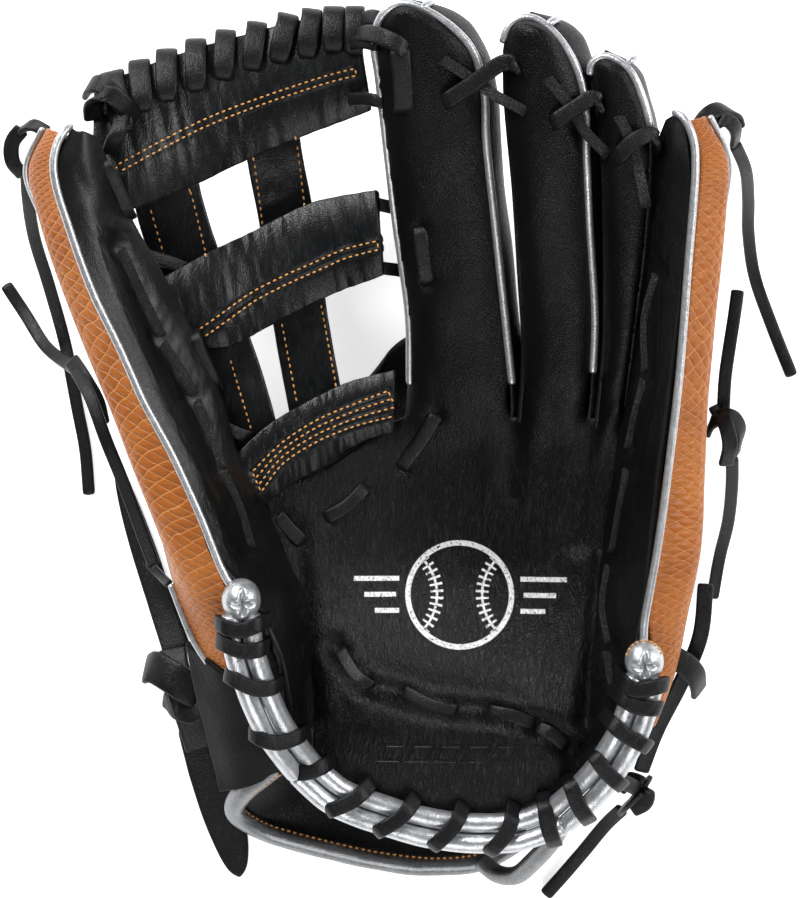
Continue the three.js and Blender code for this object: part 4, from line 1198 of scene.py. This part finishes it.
rollSizes = {"radius": 3.8, "pitch": 7.6, "knob": 7.0}
heelTrees = {}
for name, item in heelRolls.items():
    path = Route(item["points"])
    bm = newMesh()
    for half in (-0.5, 0.5):
        shifted = []
        for i in range(13):
            share = i / 12
            side = path.heading(share).cross(upward).normalized()
            shifted.append(path.at(share) + side * half * rollSizes["pitch"] / 1000)
        sweep(bm, Route(shifted), flatAcross(path), rollSizes["radius"] / 500,
              lambda share: (rollSizes["radius"] / 500) * (1 + 0.03 * sin(share * 47)), sides=16, step=0.0016)
    if item["knob"]:
        centre = Vector(item["knob"]) / 1000
        aim = Vector(item["toward"]).normalized()
        made = bmesh.ops.create_uvsphere(bm, u_segments=56, v_segments=36, radius=rollSizes["knob"] / 1000)
        first = aim.orthogonal().normalized()
        second = aim.cross(first)
        for vertex in made["verts"]:
            place = vertex.co.normalized()
            a, b = place.dot(first), place.dot(second)
            front = max(place.dot(aim), 0)
            arms = min(abs(a - b + 0.05 * sin(9 * a)), abs(a + b + 0.05 * sin(8 * b))) / sqrt(2)
            reach = exp(-((hypot(a, b)) / 0.58) ** 4)
            cut = exp(-(arms / 0.09) ** 2) * reach * front
            hollow = exp(-(hypot(a, b) / 0.26) ** 2) * front
            vertex.co *= 1 - 0.4 * cut - 0.15 * hollow + 0.06 * reach * (1 - exp(-(arms / 0.16) ** 2)) * front
            vertex.co = centre + Vector((vertex.co.x * 1.03, vertex.co.y * 1.12, vertex.co.z * 0.96))
    for vertex in bm.verts:
        vertex.co += noise.noise_vector(vertex.co * 110) * 0.00022
    item["piece"] = finished(bm, hyphened(name, "rolls"), silverHide,
                             "palm" if item["body"] == "palm" else None, (name,), outward=True)
    if item["body"] != "palm":
        bendRoll(item["piece"], item["body"])
    heelTrees[name] = treeOf(item["piece"])

# stitches round the top of the little finger's knob
knobTop = Vector(heelRolls["heel_binding_little"]["knob"])
bm = newMesh()
for i in range(10):
    ends = []
    for turn in (0.35 + i * 0.262, 0.35 + i * 0.262 + 0.16):
        ends.append((knobTop + Vector((7.0 * cos(turn), 7.6 * sin(turn), 2.6))) / 1000)
    oneStitch(bm, ends[0], ends[1], 0.9)
finished(bm, "little-knob-stitching", orangeThread, "little_finger", subdivide=0)

# lace wound round the heel binding: from its hole in the palm over the rolls, in millimetres
wraps = {
    "heel_lace_thumb": ("thumb", "heel_binding_thumb", [
        [(-59, -62.5), (-70, -66.2), (-81, -62)], [(-56, -71), (-67, -74), (-79, -69.5)],
        [(-52, -86), (-63, -88), (-75, -82.5)], [(-46, -105.5), (-57, -108.5), (-69, -103.5)]]),
    "heel_lace_palm": ("palm", "heel_binding_palm", [
        [(-36, -116.5), (-46, -120.5), (-57, -119.5)], [(-20.3, -123.5), (-28, -131), (-38, -135.5)],
        [(-3.5, -128), (-10, -137), (-20, -143.5)], [(13.6, -131.5), (9, -141), (1, -149)],
        [(32, -132), (29, -143), (22, -151)], [(42.5, -129), (44.2, -141), (48, -150.5)]]),
    "heel_lace_little": ("little_finger", "heel_binding_little", [
        [(51.5, -122.5), (55.5, -133), (61.5, -141)], [(60, -112), (65, -119), (74.5, -127.5)],
        [(64.5, -98), (70.5, -104), (81, -110)], [(67, -88.5), (75, -94), (84, -95)],
        [(66, -78), (73.5, -87.5), (86.5, -86)]]),
}


def hugging(tree, run, inside=3.2, outside=1.6):
    # the stretch of a run that is over the roll, with a little more at both ends
    line = Route([Vector((x, y, 0)) for x, y in run], samples=60)
    over = [i / 60 for i in range(61) if heightOver([tree], line.at(i / 60).x,
                                                    line.at(i / 60).y)[0] is not None]
    first = max(over[0] - inside / line.length, 0)
    last = min(over[-1] + outside / line.length, 1)
    return [tuple(line.at(first + (last - first) * i / 6))[:2] for i in range(7)]


for name, (body, roll, runs) in wraps.items():
    bm = newMesh()
    for run in runs:
        run = hugging(heelTrees[roll], run)
        points = lieOn([heelTrees[roll]] + fronts, run, 2.0, dive=(4, 0), samples=13)
        out = (points[-1] - points[-3]).normalized()
        out.z = 0
        points[-1] = points[-1] - Vector((0, 0, 0.0022))
        points[-2] = points[-2] - Vector((0, 0, 0.0006))
        points.append(points[-1] - out * 0.0004 - Vector((0, 0, 0.0032)))
        points.append(points[-1] - out * 0.0032 - Vector((0, 0, 0.0026)))
        sweep(bm, Route(points), acrossRun(run), 0.0060, 0.0022, sides=12, square=0.42, step=0.0011)
    piece = finished(bm, hyphened(name, "wraps"), laceHide, "palm" if body == "palm" else None,
                     (name,), outward=True)
    if body != "palm":
        bendRoll(piece, body)
print("glove: heel binding wound")

# wrist strap, its silver rolled edge and the tab of the binding
strapEdge = rail([-51, -114.5, 51], [-61, -122, 43], [-70, -130, 34], [-74, -138, 23], [-65, -146, 14],
                 [-49, -151.5, 10], [-20, -158.5, 7], [4, -161, 6.5], [22, -158.5, 8], [34, -151, 13])
bm = newMesh()
sweep(bm, Route(strapEdge), lambda share: upward, 0.0092, 0.0084, sides=16, step=0.0018)
for vertex in bm.verts:
    vertex.co += noise.noise_vector(vertex.co * 70) * 0.00045
# the rolled edge is in the darker copy of the silver, which is painted shade
finished(bm, "wrist-strap-rolled-edge", silverShaded, "wrist_strap", ("wrist_strap_binding",),
         outward=True)
strapSurface = loft(
    rail([-57, -116, 34], [-36, -118, 9], [0, -119, 4.5], [30, -119, 5], [50, -117, 16]),
    rail([-65, -125, 31], [-43, -134, 8], [0, -140, 3.6], [26, -138, 5], [44, -132, 12]),
    rail([-72, -135.5, 23], [-60, -147, 12], [-21, -157.5, 6.8], [4, -160, 6.4], [22, -157.5, 8],
         [34.5, -149.5, 13]),
)
bm = newMesh()
surfaceGrid(bm, lambda u, v: strapSurface(u, 1 - v), 40, 60)
bmesh.ops.reverse_faces(bm, faces=bm.faces)
finished(bm, "wrist-strap-hide", backHide, "wrist_strap", ("wrist_strap",), wall=0.003)
bm = newMesh()
tab = rail([50, -140, 54], [46.5, -147, 47], [39.5, -156.5, 35], [33, -163, 24], [26, -163, 16],
           [20, -158.5, 11])
sweep(bm, Route(tab), lambda share: upward, 0.0078, 0.0074, sides=16, step=0.0018)
# the tab is in the darker copy of the silver, which is painted shade
tabPiece = finished(bm, "wrist-tab-rolls", silverShaded, None, ("wrist_tab",), outward=True)
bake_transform(tabPiece)
bm = newMesh()
edgeRoute = Route(strapEdge)
for i in range(66):
    middle = (i + 0.5) / 66
    half = 0.0008 / edgeRoute.length
    ends = []
    for share in (middle - half, middle + half):
        spot = edgeRoute.at(share)
        inward = upward.cross(edgeRoute.heading(share)).normalized()
        ends.append(spot + inward * 0.0032 + upward * 0.0034)
    if middle > 0.06:
        oneStitch(bm, ends[0], ends[1], 0.9)
finished(bm, "wrist-strap-stitching", orangeThread, "wrist_strap", subdivide=0)

# side of the wrist under the thumb's heel, between the tan panel, the rolls and the strap, in a darker hide
# that is painted shade
wristSide = loft(
    rail([-90, -71, 57], [-86, -94, 44], [-82, -112, 37], [-78.5, -130, 31]),
    rail([-78, -80, 66], [-74, -98, 58], [-70, -112, 51], [-69, -127, 40]),
    rail([-64, -90, 70], [-58, -103, 64], [-52, -114, 55], [-55, -120, 47]),
)
bm = newMesh()
surfaceGrid(bm, wristSide, 20, 40)
uneven(bm, 60, 0.0008)
sidePiece = finished(bm, "thumb-wrist-side-hide", shadedSideHide, None, (), wall=0.0026)
bendWith(sidePiece, "thumb")
bm = newMesh()
stitchRow(bm, [treeOf(sidePiece)], [(-75, -128.5), (-69, -123.5), (-62, -118)])
bendWith(finished(bm, "thumb-wrist-side-stitching", orangeThread, None, subdivide=0), "thumb")

# side of the wrist under the little finger's heel
littleSide = loft(
    rail([80, -104, 62], [72, -116, 56], [62, -127, 50], [50, -136, 46]),
    rail([83, -98, 44], [73, -113, 36], [61, -124, 28], [48, -132, 22]),
    rail([81, -95, 28], [70, -110, 20], [58, -118, 14], [46, -124, 9]),
)
bm = newMesh()
surfaceGrid(bm, lambda u, v: littleSide(1 - u, v), 20, 40)
uneven(bm, 55, 0.0008)
bendWith(finished(bm, "little-wrist-side-hide", backHide, None, (), wall=0.0026), "little_finger")

# loops, pads and lining inside the glove
strips("thumb-inner-loop", "thumb", liningHide, [
    (9, 1.8, (0.3, 1, 0), [[-95, 3, 80], [-90, 3, 68], [-90, 2, 57], [-95, 1, 51], [-100, 0, 56],
                           [-102, 0, 68], [-101, 1, 78]])], ("thumb_loop",))
strips("little-inner-loop", "little_finger", liningHide, [
    (9, 1.8, (-0.2, 1, 0), [[85, 4, 82], [82, 3, 74], [83, 2, 65], [87, 0, 60], [92, 0, 64], [93, 1, 76]])],
    ("little_loop",))
inner = {
    "palm_pad": ("palm-felt", feltPad, "palm", palmSurface, 0.0038, 0.0055, (0.16, 0.84), (0.14, 0.8)),
    "palm_liner": ("palm-lining", liningHide, "palm", palmSurface, 0.0018, 0.0105, (0.12, 0.88), (0.1, 0.86)),
    "thumb_heel_pad": ("thumb-felt", feltPad, "thumb", thumbSurface, 0.0036, 0.0055, (0.2, 0.8),
                       (0.04, 0.36)),
    "little_heel_pad": ("little-felt", feltPad, "little_finger", littleSurface, 0.0032, 0.0055, (0.2, 0.8),
                        (0.04, 0.4)),
}
for cadNode, (name, finish, body, surface, thickness, sink, uRange, vRange) in inner.items():
    bm = newMesh()
    surfaceGrid(bm, surface, 24, 36, uRange, vRange)
    bm.normal_update()
    for vertex in bm.verts:
        vertex.co -= vertex.normal * sink
    piece = finished(bm, name, finish, body if body != "little_finger" else None, (cadNode,), wall=thickness)
    if body == "little_finger":
        bendWith(piece, body)
    "felt" in name

# knots
knots = {
    "thong_knot": {"body": "thumb", "items": [
        (13, 2.8, (0.35, 0.95, 0), [[-109, -85, 7], [-106, -84, 12], [-98, -88, 17], [-90, -93, 16],
                                    [-84, -95, 9]]),
        (12, 2.8, (0.9, 0.4, 0), [[-99, -77, 8], [-98, -84, 12], [-94, -96, 13], [-90, -109, 9],
                                  [-88, -116, 6]]),
        (9, 2.6, (0.5, -0.8, 0.2), [[-86, -86, 9], [-85, -93, 14], [-90, -101, 15], [-97, -100, 12],
                                    [-102, -96, 8]])]},
    "little_top_knot": {"body": "little_finger", "items": [
        (6.5, 2.4, (0.8, -0.5, 0), [[97, 116, 96], [101, 121.5, 97], [106, 124, 94], [111, 122.5, 89],
                                    [113, 118, 85]]),
        (5.6, 2.4, (0.5, 0.8, 0), [[103, 118, 94], [107.5, 120, 96], [111.5, 117, 92], [112, 112, 84]])]},
    "little_side_knot": {"body": "little_finger", "items": [
        (6.5, 2.4, (0.3, 0.9, 0), [[103.5, 6, 66], [106, 11, 72], [111, 12, 74], [115, 7, 70],
                                   [114, -2, 64]]),
        (6, 2.4, (0.8, 0.3, 0), [[106, 16, 68], [109, 10, 75], [111, 2, 74], [110, -6, 67]]),
        (5, 2.3, (1, 0, 0), [[109, 14, 68], [109.5, 26, 70], [111, 38, 72], [112.5, 48, 73],
                             [114, 59, 73]])]},
    "heel_knot": {"body": "little_finger", "items": [
        (6.5, 2.4, (0.6, -0.8, 0), [[72, -129, 34], [76, -125, 39], [82, -128, 41], [82, -133.5, 38],
                                    [77, -137, 33]]),
        (6.5, 2.4, (0.6, 0.8, 0), [[83, -125, 37], [80.5, -128.5, 41], [76, -134, 38], [73.5, -137.5, 30]])]},
    "thong_lead": {"body": "thumb", "items": [
        (7, 2.4, (0.2, 1, 0), [[-87, -92, 14], [-82, -92, 18], [-77, -93, 24]])]},
    "heel_lead": {"body": "little_finger", "items": [
        (6.2, 2.4, (0.8, 0.2, 0), [[103, -50, 62], [101, -70, 60], [94, -88, 55], [85.5, -106, 48],
                                   [80, -122, 41]]),
        (9, 2.6, (0.4, 0.8, 0), [[90, -77, 68], [95, -80, 67], [99.5, -85, 62], [101, -91, 54]]),
        (6, 2.4, (0.3, 0.9, 0), [[67, -121, 60], [73, -125, 51], [79, -128.5, 41]])]},
}
for cadNode, knot in knots.items():
    strips(hyphened(cadNode, "strips"), knot["body"], laceHide, knot["items"], (cadNode,))
strips("thumb-side-strips", "thumb", laceHide, [
    (5, 2.3, (0.9, 0.3, 0), [[-134, 30, 36], [-128, 20, 44], [-122, 4, 46], [-115, -14, 42], [-108, -34, 36],
                             [-104.5, -44, 32]]),
    (6.5, 2.4, (0.5, 0.8, 0), [[-136, 34, 32], [-131, 27, 38], [-126, 18, 38], [-124, 9, 34]]),
    (6, 2.4, (0.8, -0.4, 0), [[-150, 118, 80], [-154, 113, 78], [-154, 106, 76], [-150, 101, 74]]),
    (5, 2.4, (0.7, 0.6, 0), [[-140, 116, 86], [-146, 119, 84], [-151, 117, 80]]),
    (3.4, 2.0, (0.6, 0.8, 0), [[-107, -43, 30], [-103, -47, 34], [-98, -51, 44]]),
])
print("glove: knots tied")

# floor and light
floorMesh = newMesh()
bmesh.ops.create_grid(floorMesh, x_segments=2, y_segments=2, size=3.0)
for vertex in floorMesh.verts:
    vertex.co.z = -0.0002
floorData = bpy.data.meshes.new("floor")
floorMesh.to_mesh(floorData)
floorMesh.free()
floor = bpy.data.objects.new("floor", floorData)
scene.collection.objects.link(floor)
floorMaterial, _, floorShader, _ = shaderFor("paleFloor", Roughness=0.9)
floorShader.inputs["Base Color"].default_value = (0.93, 0.93, 0.93, 1)
floorShader.inputs["Emission Color"].default_value = (1, 1, 1, 1)
floorShader.inputs["Emission Strength"].default_value = 0.7
floorData.materials.append(floorMaterial)
world = bpy.data.worlds.new("studio")
world.use_nodes = True
world.node_tree.nodes["Background"].inputs[0].default_value = (1, 1, 1, 1)
world.node_tree.nodes["Background"].inputs[1].default_value = 0.12
scene.world = world
lights = {
    "keyLight": {"place": (-0.7, 1.05, 1.05), "size": 0.6, "power": 29},
    "fillLight": {"place": (1.2, 0.3, 0.95), "size": 0.7, "power": 16},
    "frontLight": {"place": (0.05, -1.25, 1.05), "size": 0.8, "power": 11},
}
for name, light in lights.items():
    data = bpy.data.lights.new(name, "AREA")
    data.size = light["size"]
    data.energy = light["power"]
    lamp = bpy.data.objects.new(name, data)
    lamp.location = light["place"]
    lamp.rotation_euler = (Vector((0, 0, 0.05)) - lamp.location).to_track_quat("-Z", "Y").to_euler()
    scene.collection.objects.link(lamp)
scene.view_settings.view_transform = "Standard"

print("glove: done")
